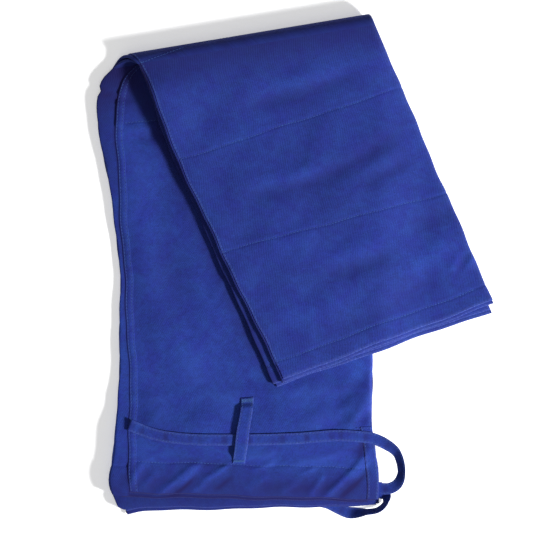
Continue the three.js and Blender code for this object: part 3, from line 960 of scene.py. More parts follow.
def seams_of(rows):
    """Reach of the side seam: that of the frame, drawn closer to the fold on the shins."""
    if rows.section == "thigh":
        return rows.seam
    if rows.section == "fold":
        share = rows.distance[:, 0] - THIGH
        return mix(rows.seam[0], SHIN_SEAM, share)
    return np.full(len(rows.seam), SHIN_SEAM)


def rows_of(leg, wall, section, size, lines=()):
    """The rows of one section of a wall, and the grid places they stand at."""
    if section == "thigh":
        places = with_lines(steps(EDGE, THIGH, size), lines)
        return thigh_rows(leg, wall, places), places
    if section == "fold":
        places = np.linspace(0, 1, 25)
        return roll_rows(leg, places), places
    places = with_lines(steps(0, HEM_JOIN, size), lines)
    return shin_rows(leg, places, wall.hem), places


def across_flat(start, stop, size, lines=()):
    """Shares of the way from start to stop, finer beside lines given in mm from the start."""
    nominal = float(np.mean(stop - start))
    return with_lines(steps(0, nominal, size), lines) / nominal


def reach_grid(start, stop, shares, arc=None, arc_steps=5):
    """Reach of each column: from start to stop by the shares, then round the inner arc."""
    flat = start[:, None] + (stop - start)[:, None] * shares[None, :]
    if arc is None:
        return flat
    more = np.arange(1, arc_steps + 1) / arc_steps
    return np.concatenate([flat, stop[:, None] + arc[:, None] * more[None, :]], axis=1)


def front_grid(rows, size):
    """Reach columns of a front wall, from the side seam to the end of its inner arc."""
    start, stop = seams_of(rows) + GAP, curl_start(rows)
    arc = curl_length(*rows.curls[0])
    return reach_grid(start, stop, across_flat(start, stop, size, (PATCH_SIDE_ROW,)), arc)


def back_grid(rows, size):
    """Reach columns of a back wall, from the side seam round the side fold to its inner edge."""
    turn = np.abs(rows.radii[0] - rows.radii[1]) / 2 * QUARTER
    seam = seams_of(rows) - GAP
    top = seam[:, None] + (turn - seam)[:, None] * np.linspace(0, 1, 6)[None, :]
    bend = turn[:, None] * np.linspace(0.8, -1, 9)[None, :]
    start = curl_start(rows, front=False)
    closed = rows.curls[1][1] / QUARTER
    flat_end = mix(row_width(rows) - BACK_INSET, start, closed)
    flat = reach_grid(turn, flat_end, across_flat(turn, flat_end, size))[:, 1:]
    arc = curl_length(*rows.curls[1]) * closed
    more = flat_end[:, None] + arc[:, None] * (np.arange(1, 5) / 4)[None, :]
    return np.concatenate([top, bend, -flat, -more], axis=1)


def edge_wear(distance):
    """1 at an edge, fading away from it."""
    return np.exp(-((np.maximum(distance, 0) / WEAR_WIDTH) ** 2))


def fold_wear(rows, reach):
    """Wear along the inner edge of a row."""
    to_inner = row_width(rows)[:, None] - np.abs(reach)
    return 0.35 * edge_wear(to_inner - 1)


def sew(name, sides, finish, grid, wear, place, painted_shading=0.0, crease=50):
    """Makes a cloth from its two sides: its mesh, its ride and the frame node it stands for.
    place is (section, slot, nodes, radius and inner side for its fold)."""
    # The mesh gets painted shade and painted highlight from its folds and edges, plus this piece's own
    # painted marks.
    obj = add_shell(name, *sides, finish, cloth_maps(*grid), wear, crease,
                    painted_shading_of(*grid, sides[0]) + painted_shading)
    settle_piece(obj, *place)
    return obj


SIZES = {"left_front": (3.2, 3.5), "left_back": (6.0, 6.0), "right_back": (6.0, 4.5),
         "right_front": (5.0, 3.2)}
STITCHED_PLACES = {"thigh": (CASING,), "fold": (), "shin": (ROW_PLACES[1], ROW_PLACES[2], ROW_PLACES[3])}


def piece_grid(leg, side, section):
    """Rows, places and reach columns of one section of a wall."""
    wall = leg.front if side == "front" else leg.back
    size = SIZES[f"{leg.name}_{side}"][0 if section == "thigh" else 1]
    rows, places = rows_of(leg, wall, section, size, STITCHED_PLACES[section])
    reach = front_grid(rows, size) if side == "front" else back_grid(rows, size)
    return rows, places, reach


def row_grooves(section, places, reach, patched):
    """Depth of the stitched rows that cross a wall."""
    lines = STITCHED_PLACES[section] if patched or section == "thigh" else (ROW_PLACES[3],)
    return np.broadcast_to(dips(places, lines)[:, None], reach.shape)


def make_panel(leg, side, section, materials):
    """One section of a wall of cloth: a closed sheet over its rows."""
    rows, places, reach = piece_grid(leg, side, section)
    groove = row_grooves(section, places, reach, side == "front") if section != "fold" else 0.0
    outside = cloth(leg, rows, reach, HALF, groove=groove)
    inside = cloth(leg, rows, reach, -HALF, groove=groove)
    wear = fold_wear(rows, reach)
    name = f"{leg.name}_{side}_{section}"
    wall = leg.front if side == "front" else leg.back
    return sew(f"cloth_{name}", (outside, inside), materials["Cotton drill"], (rows, reach), wear,
               (section, "cloth", [name], roll_radius(wall)))


def make_patch(leg, section, materials):
    """One section of a knee patch, which lies on the front wall and dips at its stitching."""
    size = 3.2 if leg is RIGHT or section == "thigh" else 5.0
    if section == "thigh":
        places = with_lines(steps(KNEE_TOP, THIGH, size), (PATCH_TOP_ROW,))
        rows = thigh_rows(leg, leg.front, places)
    else:
        rows, places = rows_of(leg, leg.front, section, size, STITCHED_PLACES[section])
    reach = front_grid(rows, size)
    along = np.zeros_like(places)
    if section == "shin":
        along = dips(places, STITCHED_PLACES["shin"])
    if section == "thigh":
        along = dips(places, (PATCH_TOP_ROW,), 0.3)
    start = reach[:, :1]
    sides = dips(reach - start, (PATCH_SIDE_ROW,), 0.3)
    groove = along[:, None] + sides
    if section == "fold":
        groove = first_row_dip(places, reach, sides)
    outside = cloth(leg, rows, reach, PATCH_SIDES[1], groove=groove)
    inside = cloth(leg, rows, reach, PATCH_SIDES[0], groove=np.minimum(groove, along[:, None]))
    if section == "fold":
        inside = cloth(leg, rows, reach, PATCH_SIDES[0])
    wear = np.maximum(0.5 * edge_wear(reach - start), fold_wear(rows, reach))
    name = f"{leg.name}_knee_patch_{section}"
    place = (section, "patch", [name], roll_radius(leg.front), -(HALF + GAP + PATCH))
    return sew(f"cloth_{name}", (outside, inside), materials["Knee patch drill"], (rows, reach), wear,
               place)


def first_row_dip(shares, reach, sides):
    """Groove of the first stitched row, which runs slantwise from the top of the roll."""
    around = (1 - shares[:, None]) * math.pi * roll_radius(RIGHT.front)
    line = reach / FIRST_ROW_REACH * QUARTER * roll_radius(RIGHT.front)
    return sides + 0.35 * np.exp(-(((around - line) / 1.5) ** 2))


def make_hem(leg, side, materials):
    """The turned hem of one wall: one rounded band of its plies, from the panel to its edge."""
    wall = leg.front if side == "front" else leg.back
    outer = PATCH_SIDES[1] if side == "front" else HALF
    inner = -(HALF + GAP + PLY)
    half = (outer - inner) / 2
    bend = np.linspace(0, QUARTER, 6)
    straight = steps(HEM_JOIN, SHIN - half, 3.0)
    places = np.concatenate([straight, SHIN - half + half * np.sin(bend[1:])])
    thick = np.concatenate([np.ones(len(straight)), np.cos(bend[1:])])
    thick = np.maximum(thick, 0.02)[:, None]
    rows = shin_rows(leg, places, wall.hem)
    size = SIZES[f"{leg.name}_{side}"][1]
    reach = front_grid(rows, size) if side == "front" else back_grid(rows, size)
    middle, thickness = (outer + inner) / 2, half * thick
    outside = cloth(leg, rows, reach, middle + thickness)
    inside = cloth(leg, rows, reach, middle - thickness)
    wear = np.maximum(fold_wear(rows, reach), edge_wear(SHIN - places)[:, None])
    name = f"{leg.name}_{side}_hem"
    return sew(f"turned_{name}", (outside, inside), materials["Turned drill"], (rows, reach), wear,
               ("shin", "turned_cloth", [name]), crease=75)


def make_casing(leg, side, materials):
    """The waist casing of one wall: its turned edge, half round, and the cloth inside."""
    wall = leg.front if side == "front" else leg.back
    sign = 1 if side == "front" else -1
    radius = (TURNED[0] - TURNED[1]) / 2
    bend = np.linspace(0, math.pi, 9)
    inner = steps(EDGE, CASING, 4.5)[1:]
    turned = np.concatenate([1 - bend / math.pi, np.zeros(len(inner))])[:, None]
    surfaces = []
    for part in (1, -1):
        thick = mix(HALF, PLY / 2, bend / math.pi)
        u = EDGE - (radius + part * thick) * np.sin(bend)
        out = (TURNED[0] + TURNED[1]) / 2 + (radius + part * thick) * np.cos(bend)
        u = np.concatenate([u, inner])
        out = np.concatenate([out, np.full(len(inner), TURNED[1] - part * PLY / 2)])
        rows = thigh_rows(leg, wall, u)
        if side == "front":
            start = np.maximum(seams_of(rows) + GAP, CASING_SIDE)
        else:
            start = np.full(len(u), CASING_SIDE)
        stop = row_width(rows) - (2.2 if side == "front" else SEAM_INSET)
        shares = across_flat(start, stop, 3.2 if (leg is LEFT and sign > 0) else 7.0)
        reach = sign * reach_grid(start, stop, shares)
        amount = turned if side == "front" else 1.0
        surfaces.append((cloth(leg, rows, reach, out[:, None], amount), rows, reach))
    (outside, rows, reach), (inside, _, _) = surfaces
    wear = np.zeros(reach.shape)
    wear[: len(bend)] = 0.3 * np.sin(bend)[:, None]
    # Painted shade: a dark line along the left leg's turned waist edge, where shade falls beside it.
    painted_shading = -0.85 * (1 - smooth(rows.distance[:, :1], 0.5, 2.4)) if leg is LEFT else 0.0
    name = f"{leg.name}_{side}_waist_casing"
    return sew(f"turned_{name}", (outside, inside), materials["Turned drill"], (rows, reach), wear,
               ("thigh", "turned_cloth", [name]), painted_shading, 75)


def make_facing(leg, materials):
    """The strip that finishes one side of the slit, with rounded long edges."""
    places = steps(EDGE, SLIT, 2.5)
    rows = thigh_rows(leg, leg.front, places)
    stop = curl_start(rows) + curl_length(*rows.curls[0]) - 0.2
    across = np.array([0, 0.3, 0.9, 1.6, 2.4, 4.5, 7, 9.5, 11.2, 12.2, 12.8, 13.0])
    reach = (stop - FACING)[:, None] + across[None, :]
    edge = np.minimum(across, FACING - across)
    top = HALF + 0.05 + 0.55 * np.minimum(1, (edge / 0.9)) ** 0.5
    top = top[None, :] - dips(reach - reach[:, :1], (FACING_ROW,), 0.2)
    outside = cloth(leg, rows, reach, np.maximum(top, HALF + 0.08))
    inside = cloth(leg, rows, reach, HALF + 0.03)
    name = f"{leg.name}_slit_facing"
    wear = np.broadcast_to(0.5 * edge_wear(edge)[None, :], reach.shape)
    # Painted shade: a dark line along the strip's inner long edge, where its edge casts shade.
    painted_shading = -0.9 * np.exp(-((across - 0.3) ** 2))
    return sew(f"strip_{name}", (outside, inside), materials["Turned drill"], (rows, reach), wear,
               ("thigh", "turned_cloth", [name]), painted_shading)


def make_felled_seam(leg, materials):
    """The felled side seam of a thigh: a low rounded band with two stitched grooves."""
    places = steps(EDGE, THIGH, 3.2)
    rows = thigh_rows(leg, leg.front, places)
    across = np.array([-0.4, 0, 0.5, 0.9, 1.4, 1.9, 2.6, 4.2, 5.7, 6.4, 6.9, 7.4, 8.0, 8.5])
    reach = seams_of(rows)[:, None] + across[None, :]
    edge = np.minimum(across + 0.4, FELL - across)
    base = HALF + (GAP + PATCH) * smooth(places, KNEE_TOP - 3, KNEE_TOP + 3)[:, None]
    pucker = 0.1 * np.sin(2 * math.pi * places / 9.5)[:, None] * np.sin(QUARTER * 2 * across / FELL)
    top = base + 0.03 + FELL_THICK * np.minimum(1, edge / 0.8) ** 0.5 + pucker
    top = top - dips(across, FELL_ROWS, 0.35, 0.7)
    outside = cloth(leg, rows, reach, np.maximum(top, base + 0.05))
    inside = cloth(leg, rows, reach, base + 0.02)
    wear = np.broadcast_to(0.1 * edge_wear(edge)[None, :], reach.shape)
    obj = add_shell(f"felled_{leg.name}_side_seam", outside, inside, materials["Cotton drill"],
                    cloth_maps(rows, reach), wear, painted_shading=painted_shading_of(rows, reach, outside))
    return settle_piece(obj, "thigh", "cloth")


def loop_rows(leg, rise, places):
    """Rows under a belt loop, its reach columns and how far its middle is outside the wall."""
    rows = thigh_rows(leg, RIGHT.front, places)
    low, high = LOOP_ENDS
    near = np.minimum(places - low, high - places) - LOOP_SEWN
    lift = rise * smooth(near, 0, LOOP_RAMP)
    return rows, HALF + GAP + LOOP_STRAP / 2 + lift


def make_belt_loop(leg, rise, materials):
    """A belt loop: a folded strap with rounded edges, sewn down at both ends."""
    low, high = LOOP_ENDS
    places = steps(low, high, 1.2)
    rows, middle = loop_rows(leg, rise, places)
    half = LOOP_WIDTH / 2
    across = half * np.sin(np.linspace(-QUARTER, QUARTER, 25))
    reach = LOOP_REACH + np.broadcast_to(across, (len(places), len(across)))
    edge = np.sqrt(np.maximum(0, 1 - (np.abs(across) / half) ** 5))
    end = np.minimum(1, np.minimum(places - low, high - places) / 0.8 + 0.15) ** 0.5
    sewn = 1 - 0.25 * smooth(LOOP_SEWN - np.minimum(places - low, high - places), 0, 2)
    pucker = 1 + 0.10 * np.sin(2 * math.pi * places / 6.3)[:, None] * (np.abs(across) / half) ** 2
    thick = LOOP_STRAP / 2 * edge[None, :] * (end * sewn)[:, None] * pucker
    thick = np.maximum(thick, 0.03)
    groove = dips(across, (-half + LOOP_ROW, half - LOOP_ROW), 0.22, 0.6)[None, :] * (thick > 0.4)
    base = middle[:, None] - LOOP_STRAP / 2 * (1 - end * sewn)[:, None]
    outside = cloth(leg, rows, reach, base + thick - groove)
    inside = cloth(leg, rows, reach, base - thick)
    wear = np.broadcast_to(edge_wear(half - np.abs(across))[None, :], reach.shape)
    name = f"{leg.name}_belt_loop"
    obj = add_shell(f"strap_{name}", outside, inside, materials["Loop drill"],
                    cloth_maps(rows, reach), wear, crease=80)
    settle_piece(obj, "thigh", "loop", [name])
    return obj


# ---- Drawstring ----

ON_FRONT = float(thigh_height(LEFT.front, 0)) + HALF + GAP + PLY + TAPE_REST + TAPE / 2
LEFT_END = (
    [(96, -246, 14), (106, -245.5, 15), (114, -240.5, 16), (118, -231, 17), (117.5, -219, 18),
     (112.5, -206, 18.5), (101, -197, 18), (86, -190.5, ON_FRONT), (71, -188.7, ON_FRONT),
     (49, -187.6, ON_FRONT), (2, -190.9, ON_FRONT), (-65, -192.5, ON_FRONT),
     (-119, -191.4, ON_FRONT), (-152, -186.5, ON_FRONT), (-180.4, -176, ON_FRONT)],
    ((0, 0.04, 0.09, 0.15, 0.22, 1), (0, -15, -48, -42, 0, 0)),
)
RIGHT_END = (
    [(96, -251, 3.6), (102, -254, 4.5), (101, -262, 6.8), (93, -269.5, 7.4), (80, -272, 7),
     (70, -273, 4), (60, -272.8, 1), (50, -268.5, 0.7), (36, -262, 0.7), (0, -258.5, 0.7),
     (-60, -258, 0.7), (-110, -257, 0.7)],
    ((0, 0.06, 0.17, 0.25, 0.27, 1), (0, 64, 60, 4, 0, 0)),
)


TAPE_ENDS = (("left", LEFT_END), ("right", RIGHT_END))


def tape_frame(end, spacing=1.6):
    """Centres, width ways and thickness ways of a tape along its route.

    The width way is (up x tangent), turned about the tangent by the twist there.
    """
    route, (shares, degrees) = end
    line = Edge(route)
    distance = np.linspace(0, line.length, int(line.length / spacing) + 1)
    centre = line.at(distance)
    tangent = np.gradient(centre, axis=0)
    tangent /= np.linalg.norm(tangent, axis=1, keepdims=True)
    flat = np.cross([0.0, 0.0, 1.0], tangent)
    flat /= np.linalg.norm(flat, axis=1, keepdims=True)
    twist = np.radians(np.interp(distance / line.length, shares, degrees))[:, None]
    wide = flat * np.cos(twist) + np.cross(tangent, flat) * np.sin(twist)
    thick = np.cross(tangent, wide)
    on_cloth = (1 - smooth(centre[:, 0], 74, 92)) * (centre[:, 2] > 12)
    centre = centre.copy()
    centre[:, 2] += thigh_relief(centre[:, 0], centre[:, 1]) * on_cloth
    return distance, centre, wide, thick


def make_tape_end(name, end, materials):
    """A free end of the drawstring: a flat section with rounded edges carried along its route."""
    distance, centre, wide, thick = tape_frame(end)
    half = TAPE_WIDTH / 2
    across = half * np.sin(np.linspace(-QUARTER, QUARTER, 19))
    round_edge = np.sqrt(np.maximum(0, 1 - (np.abs(across) / half) ** 6))
    length = distance[-1]
    tip = np.sqrt(np.clip((length - distance) / 1.2, 0.0004, 1))[:, None]
    hemmed = 1 + 0.25 * smooth(distance, length - 9, length - 8)[:, None]
    pucker = 1 + 0.13 * np.sin(2 * math.pi * distance / 5.3)[:, None] * (np.abs(across) / half) ** 2
    creases = np.clip(np.sin(distance / 2.9) * np.sin(distance / 7.1 + 1), 0, 1)[:, None]
    middle = 1 - (np.abs(across) / half) ** 2
    high = TAPE / 2 * round_edge[None, :] * pucker * tip * hemmed * (1 - 0.25 * creases * middle)
    groove = dips(across, (-half + TAPE_ROW, half - TAPE_ROW), 0.16, 0.6)[None, :] * (high > 0.3)
    flat = centre[:, None, :] + wide[:, None, :] * across[None, :, None]
    outside = flat + thick[:, None, :] * np.maximum(high - groove, 0.02)[..., None]
    inside = flat - thick[:, None, :] * np.maximum(high - groove, 0.02)[..., None]
    maps = np.stack(np.broadcast_arrays(across[None, :], distance[:, None]), axis=-1)
    wear = np.broadcast_to(edge_wear(half - np.abs(across))[None, :], high.shape)
    # The last argument is painted shade: the whole tape a little darker, and darker in its creases.
    obj = add_shell(f"tape_{name}_end", outside, inside, materials["Drawstring tape"], maps, wear, 80,
                    -0.1 - 0.5 * creases * middle)
    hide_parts(f"drawstring_{name}_end")
    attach(obj, f"drawstring_{name}")
    return obj


OFF_SIDE = 1.2  # of the runs from the casing's side fold
RUN_MEETING = 12.0  # from the side edge to where the runs meet
RUN_OUT = 6.2  # how far a front run reaches out of the slit to the free end
RUN_SIDES = (-(TAPE_DEPTH + TAPE / 2), -(TAPE_DEPTH - TAPE / 2))


def run_rows(leg, lines=5):
    """Rows of the drawstring inside a front's casing, a little off the side fold."""
    inset = TAPE_INSET + np.linspace(-TAPE_WIDTH / 2, TAPE_WIDTH / 2, lines)
    rows = thigh_rows(leg, leg.front, inset)
    across = (rows.inner - rows.side) / row_width(rows)[:, None]
    return rows._replace(side=rows.side + across * OFF_SIDE)


def make_runs(materials):
    """The drawstring inside the casings: one run in each front, and one round the back."""
    made = []
    for leg in LEGS:
        rows = run_rows(leg)
        start = np.full(len(rows.seam), RUN_MEETING + 0.3)
        stop = row_width(rows) - 1.8
        reach = reach_grid(start, stop, across_flat(start, stop, 4.0))
        outside = cloth(leg, rows, reach, RUN_SIDES[1], 0.0)
        inside = cloth(leg, rows, reach, RUN_SIDES[0], 0.0)
        for side in (outside, inside):
            side[:, -1, 0] += RUN_OUT
        obj = add_shell(f"tape_{leg.name}_run", outside, inside, materials["Drawstring tape"],
                        cloth_maps(rows, reach))
        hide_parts(f"drawstring_{leg.name}_run")
        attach(obj, f"drawstring_{leg.name}")
        length = float((stop - start).mean()) + RUN_OUT
        made.append(obj)
    sides = []
    length = 0.0
    for out in (RUN_SIDES[1], RUN_SIDES[0]):
        grids = []
        for leg in LEGS:
            rows = run_rows(leg)
            stop = row_width(rows) - BACK_INSET - OFF_SIDE
            near = np.linspace(RUN_MEETING, -RUN_MEETING, 17)
            far = reach_grid(np.full(len(stop), RUN_MEETING), stop, np.linspace(0, 1, 60))[:, 1:]
            reach = np.concatenate([np.broadcast_to(near, (len(stop), 17)), -far], axis=1)
            grids.append(cloth(leg, rows, reach, out))
            length += float(stop.mean() + RUN_MEETING) / 2
        left, right = grids
        first, last = left[:, -1], right[:, -1]
        share = (np.arange(1, 8) / 8)[None, :, None]
        turn = mix(first[:, None, :], last[:, None, :], share)
        radius = (first[:, 2] - last[:, 2])[:, None] / 2
        turn[..., 0] += radius * np.sin(share[..., 0] * math.pi)
        turn[..., 2] = (first[:, 2] + last[:, 2])[:, None] / 2 + radius * np.cos(share[..., 0] * math.pi)
        sides.append(np.concatenate([left, turn, right[:, ::-1]], axis=1))
    lines, columns = sides[0].shape[:2]
    maps = np.stack(np.broadcast_arrays(np.linspace(0, TAPE_WIDTH, lines)[:, None],
                                        np.linspace(0, length, columns)[None, :]), axis=-1)
    obj = add_shell("tape_back_run", sides[0], sides[1], materials["Drawstring tape"], maps)
    settle_piece(obj, "thigh", "tape", ["drawstring_back_run"])
    return made + [obj]


# ---- Stitches ----


def along_line(points, ups, pitch):
    """Even places along a line of points: positions, ways along and ways up."""
    gaps = np.linalg.norm(np.diff(points, axis=0), axis=1)
    places = np.concatenate([[0], np.cumsum(gaps)])
    count = max(2, int(places[-1] / pitch))
    at = (np.arange(count) + 0.5) * places[-1] / count
    spot = np.stack([np.interp(at, places, c) for c in points.T], axis=-1)
    ahead = np.stack([np.interp(at + 0.5, places, c) for c in points.T], axis=-1)
    behind = np.stack([np.interp(at - 0.5, places, c) for c in points.T], axis=-1)
    up = np.stack([np.interp(at, places, c) for c in ups.T], axis=-1)
    way = ahead - behind
    way /= np.linalg.norm(way, axis=1, keepdims=True)
    up -= way * (up * way).sum(axis=1, keepdims=True)
    up /= np.linalg.norm(up, axis=1, keepdims=True)
    return spot, way, up


def thread_bars(spot, way, up, length, width, height):
    """Small capsules of thread: two rings of four corners and two tips for each stitch."""
    side = np.cross(way, up)
    stations = np.array([-0.5, -0.34, 0.34, 0.5]) * length
    corners = np.array([(1, 0), (0, 1), (-1, 0), (0, -1)], float)
    tips = spot[:, None, :] + way[:, None, :] * stations[[0, 3]][None, :, None]
    rings = (spot[:, None, None, :] + way[:, None, None, :] * stations[[1, 2]][None, :, None, None]
             + side[:, None, None, :] * (corners[:, 0] * width / 2)[None, None, :, None]
             + up[:, None, None, :] * (corners[:, 1] * height / 2)[None, None, :, None])
    points = np.concatenate([tips, rings.reshape(len(spot), 8, 3)], axis=1)
    here = np.arange(4)
    after = (here + 1) % 4
    first = np.stack([np.zeros(4, int), 2 + after, 2 + here, 2 + here], axis=-1)
    middle = np.stack([2 + here, 2 + after, 6 + after, 6 + here], axis=-1)
    last = np.stack([np.ones(4, int), 6 + here, 6 + after, 6 + after], axis=-1)
    faces = np.concatenate([first, middle, last])
    if volume_of(points[0], faces) < 0:
        faces = flip(faces)
    faces = faces[None, :, :] + 10 * np.arange(len(spot))[:, None, None]
    return points.reshape(-1, 3), faces.reshape(-1, 4)


def flip(faces):
    """Faces turned over; a triangle keeps its doubled corner last."""
    is_triangle = (faces[:, 2] == faces[:, 3])[:, None]
    turned = faces[:, ::-1]
    return np.where(is_triangle, faces[:, [1, 0, 2, 2]], turned)


def make_stitches(name, lines, section, materials, settings, radius=None, inner=HALF,
                  pitch=None, body=None, width=1.0, slot="tape"):
    """Stitches along lines of (points, ups), as one piece."""
    length = settings.stitch_length * 1000
    size = settings.thread_width * 1000 * width
    pitch = pitch or length * 1.28
    all_points, all_faces, count = [], [], 0
    for points, ups in lines:
        spot, way, up = along_line(points, ups, pitch)
        bars, faces = thread_bars(spot + up * 0.06, way, up, min(length, pitch * 0.8), size, size * 0.75)
        all_points.append(bars)
        all_faces.append(faces + count)
        count += len(bars)
    points, faces = np.concatenate(all_points), np.concatenate(all_faces)
    maps = points[:, :2]
    obj = add_mesh(name, points, faces, materials["Sewing thread"], maps, crease=180)
    if body:
        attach(obj, body)
    else:
        settle_piece(obj, section, slot, (), radius, inner)
    return obj


def surface_line(leg, rows, reach, out, groove=0.0):
    """A line across or along cloth, and the ways out of it: one point for each row."""
    reach = np.asarray(reach, float)
    grid = reach[:, None] if reach.ndim == 1 else reach
    at = cloth(leg, rows, grid, out, groove=groove).reshape(-1, 3)
    over = cloth(leg, rows, grid, out + 1.0, groove=groove).reshape(-1, 3)
    return at, over - at


def across_line(leg, rows, start, stop, out, groove=0.0, count=200):
    """A line along one row of cloth."""
    reach = np.linspace(start, stop, count)[None, :]
    return surface_line(leg, rows, reach, out, groove)


def stitch_thigh(leg, materials, settings):
    """Stitching of a thigh: side seam, casing, slit, top of the knee patch and belt loop."""
    lines = []
    along = np.linspace(2, THIGH - 1, 400)
    rows = thigh_rows(leg, leg.front, along)
    base = HALF + (GAP + PATCH) * smooth(along, KNEE_TOP - 3, KNEE_TOP + 3)[:, None]
    if leg is LEFT:
        for place in FELL_ROWS:
            lines.append(surface_line(leg, rows, seams_of(rows) + place, base + FELL_THICK - 0.26))
    waist = thigh_rows(leg, leg.front, [CASING])
    end = float(row_width(waist)[0])
    start = float(seams_of(waist)[0]) + 2
    lines.append(across_line(leg, waist, start, end - 4, HALF - GROOVE + 0.1))
    back = thigh_rows(leg, leg.back, [CASING])
    lines.append(across_line(leg, back, -4, -end + 8, HALF - GROOVE + 0.1))
    strip = thigh_rows(leg, leg.front, np.linspace(3, SLIT - 1, 60))
    stop = curl_start(strip) + curl_length(*strip.curls[0]) - 0.2
    lines.append(surface_line(leg, strip, stop - FACING + FACING_ROW, HALF + 0.42))
    lines.append(surface_line(leg, strip, stop - 2.0, HALF + 0.6))
    tack = thigh_rows(leg, leg.front, [SLIT - 1.5])
    lines.append(across_line(leg, tack, end - 26, end - 3, HALF + 0.62))
    patch = thigh_rows(leg, leg.front, [PATCH_TOP_ROW])
    first = float(seams_of(patch)[0]) + 2
    lines.append(across_line(leg, patch, first, float(row_width(patch)[0]) - 13, PATCH_SIDES[1] - 0.22))
    make_stitches(f"stitching_{leg.name}_thigh", lines, "thigh", materials, settings)


def stitch_loop(leg, rise, materials, settings):
    """Edge stitching of a belt loop, and a bar tack across each of its ends."""
    low, high = LOOP_ENDS
    places = np.linspace(low + 1.5, high - 1.5, 90)
    rows, middle = loop_rows(leg, rise, places)
    lines = []
    for side in (-1, 1):
        reach = np.full(len(places), LOOP_REACH + side * (LOOP_WIDTH / 2 - LOOP_ROW))
        lines.append(surface_line(leg, rows, reach, (middle + LOOP_STRAP / 2 - 0.2)[:, None]))
    make_stitches(f"stitching_{leg.name}_loop_edges", lines, "thigh", materials, settings)
    tacks = []
    count = 34
    for place in (low + 2.6, high - 2.6, high - 4.6):
        reach = LOOP_REACH + np.linspace(-LOOP_WIDTH / 2 + 0.8, LOOP_WIDTH / 2 - 0.8, count)
        sway = np.where(np.arange(count) % 2 == 0, -1.0, 1.0)
        rows, middle = loop_rows(leg, rise, place + sway)
        tacks.append(surface_line(leg, rows, reach, (middle + LOOP_STRAP / 2 - 0.12)[:, None]))
    make_stitches(f"stitching_{leg.name}_loop_tacks", tacks, "thigh", materials, settings, pitch=1.05,
                  width=1.15)


def stitch_shin(leg, materials, settings):
    """Stitching of a shin: the rows through its knee patch, its edges and its hems."""
    lines = []
    front_out = PATCH_SIDES[1] - GROOVE + 0.12
    for place in STITCHED_PLACES["shin"]:
        rows = shin_rows(leg, [place], leg.front.hem)
        last = float(row_width(rows)[0]) - SEAM_INSET - 2
        lines.append(across_line(leg, rows, SHIN_SEAM + 1.5, last, front_out))
    rows = shin_rows(leg, [ROW_PLACES[3]], leg.back.hem)
    lines.append(across_line(leg, rows, -2.5, -float(row_width(rows)[0]) + 2, HALF - GROOVE + 0.1))
    along = np.linspace(1, SHIN - 2, 300)
    rows = shin_rows(leg, along, leg.front.hem)
    edge = np.full(len(along), SHIN_SEAM + GAP + PATCH_SIDE_ROW)
    lines.append(surface_line(leg, rows, edge, PATCH_SIDES[1] - 0.18))
    make_stitches(f"stitching_{leg.name}_shin", lines, "shin", materials, settings)


def stitch_fold(leg, materials, settings):
    """Stitching round the fold: the patch's two edges, and the first row through the patch."""
    shares = np.linspace(0, 1, 60)
    rows = roll_rows(leg, shares)
    edge = seams_of(rows) + GAP + PATCH_SIDE_ROW
    lines = [surface_line(leg, rows, edge, PATCH_SIDES[1] - 0.18)]
    top = np.linspace(1, 0.03, 120)
    slanting = roll_rows(leg, top)
    reach = np.maximum((1 - top) * 2 * FIRST_ROW_REACH, seams_of(slanting) + 2)
    lines.append(surface_line(leg, slanting, reach, PATCH_SIDES[1] - 0.22))
    make_stitches(f"stitching_{leg.name}_fold", lines, "fold", materials, settings,
                  roll_radius(leg.front), -(HALF + GAP + PATCH))


def stitch_tape(name, end, materials, settings):
    """Edge stitching on both broad sides of a free end of the drawstring."""
    _, centre, wide, thick = tape_frame(end)
    lines = []
    for side in (-1, 1):
        for face in (-1, 1):
            line = centre + wide * side * (TAPE_WIDTH / 2 - TAPE_ROW) + thick * face * (TAPE / 2 - 0.12)
            lines.append((line[1:-2], (thick * face)[1:-2]))
    make_stitches(f"stitching_{name}_tape", lines, "thigh", materials, settings,
                  body=f"drawstring_{name}", width=0.85)


# ---- Settings, operators and panel ----


class ClothSettings(bpy.types.PropertyGroup):
    """Colours and sizes of the cloth and the sewing."""

    cloth_colour: bpy.props.FloatVectorProperty(
        name="Cloth", description="Colour of the cotton drill", subtype="COLOR", size=3,
        min=0, max=1, default=(0.0128, 0.0330, 0.2380))
    thread_colour: bpy.props.FloatVectorProperty(
        name="Thread", description="Colour of the sewing thread", subtype="COLOR", size=3,
        min=0, max=1, default=(0.045, 0.100, 0.330))
    stitch_length: bpy.props.FloatProperty(
        name="Stitch length", description="Length of one stitch", subtype="DISTANCE",
        unit="LENGTH", min=0.001, max=0.006, default=0.0028)
    thread_width: bpy.props.FloatProperty(
        name="Thread width", description="Width of the sewing thread", subtype="DISTANCE",
        unit="LENGTH", min=0.0002, max=0.001, default=0.00045)


class StageSettings(bpy.types.PropertyGroup):
    """Floor, lights and camera."""

    floor_colour: bpy.props.FloatVectorProperty(
        name="Floor", description="Colour of the floor", subtype="COLOR", size=3,
        min=0, max=1, default=(0.93, 0.93, 0.93))
    camera_height: bpy.props.FloatProperty(
        name="Camera height", description="Height of the camera over the floor",
        subtype="DISTANCE", unit="LENGTH", min=1, max=20, default=6.0)
    view_width: bpy.props.FloatProperty(
        name="View width", description="Width of floor that the camera sees",
        subtype="DISTANCE", unit="LENGTH", min=0.1, max=3, default=0.5863)
    key_power: bpy.props.FloatProperty(
        name="Key light", description="Power of the key light", min=0, max=2000, default=138)
    fill_power: bpy.props.FloatProperty(
        name="Fill light", description="Power of the fill light", min=0, max=2000, default=9)
    sky: bpy.props.FloatProperty(
        name="Surround", description="Strength of the soft light from all round",
        min=0, max=5, default=0.2)


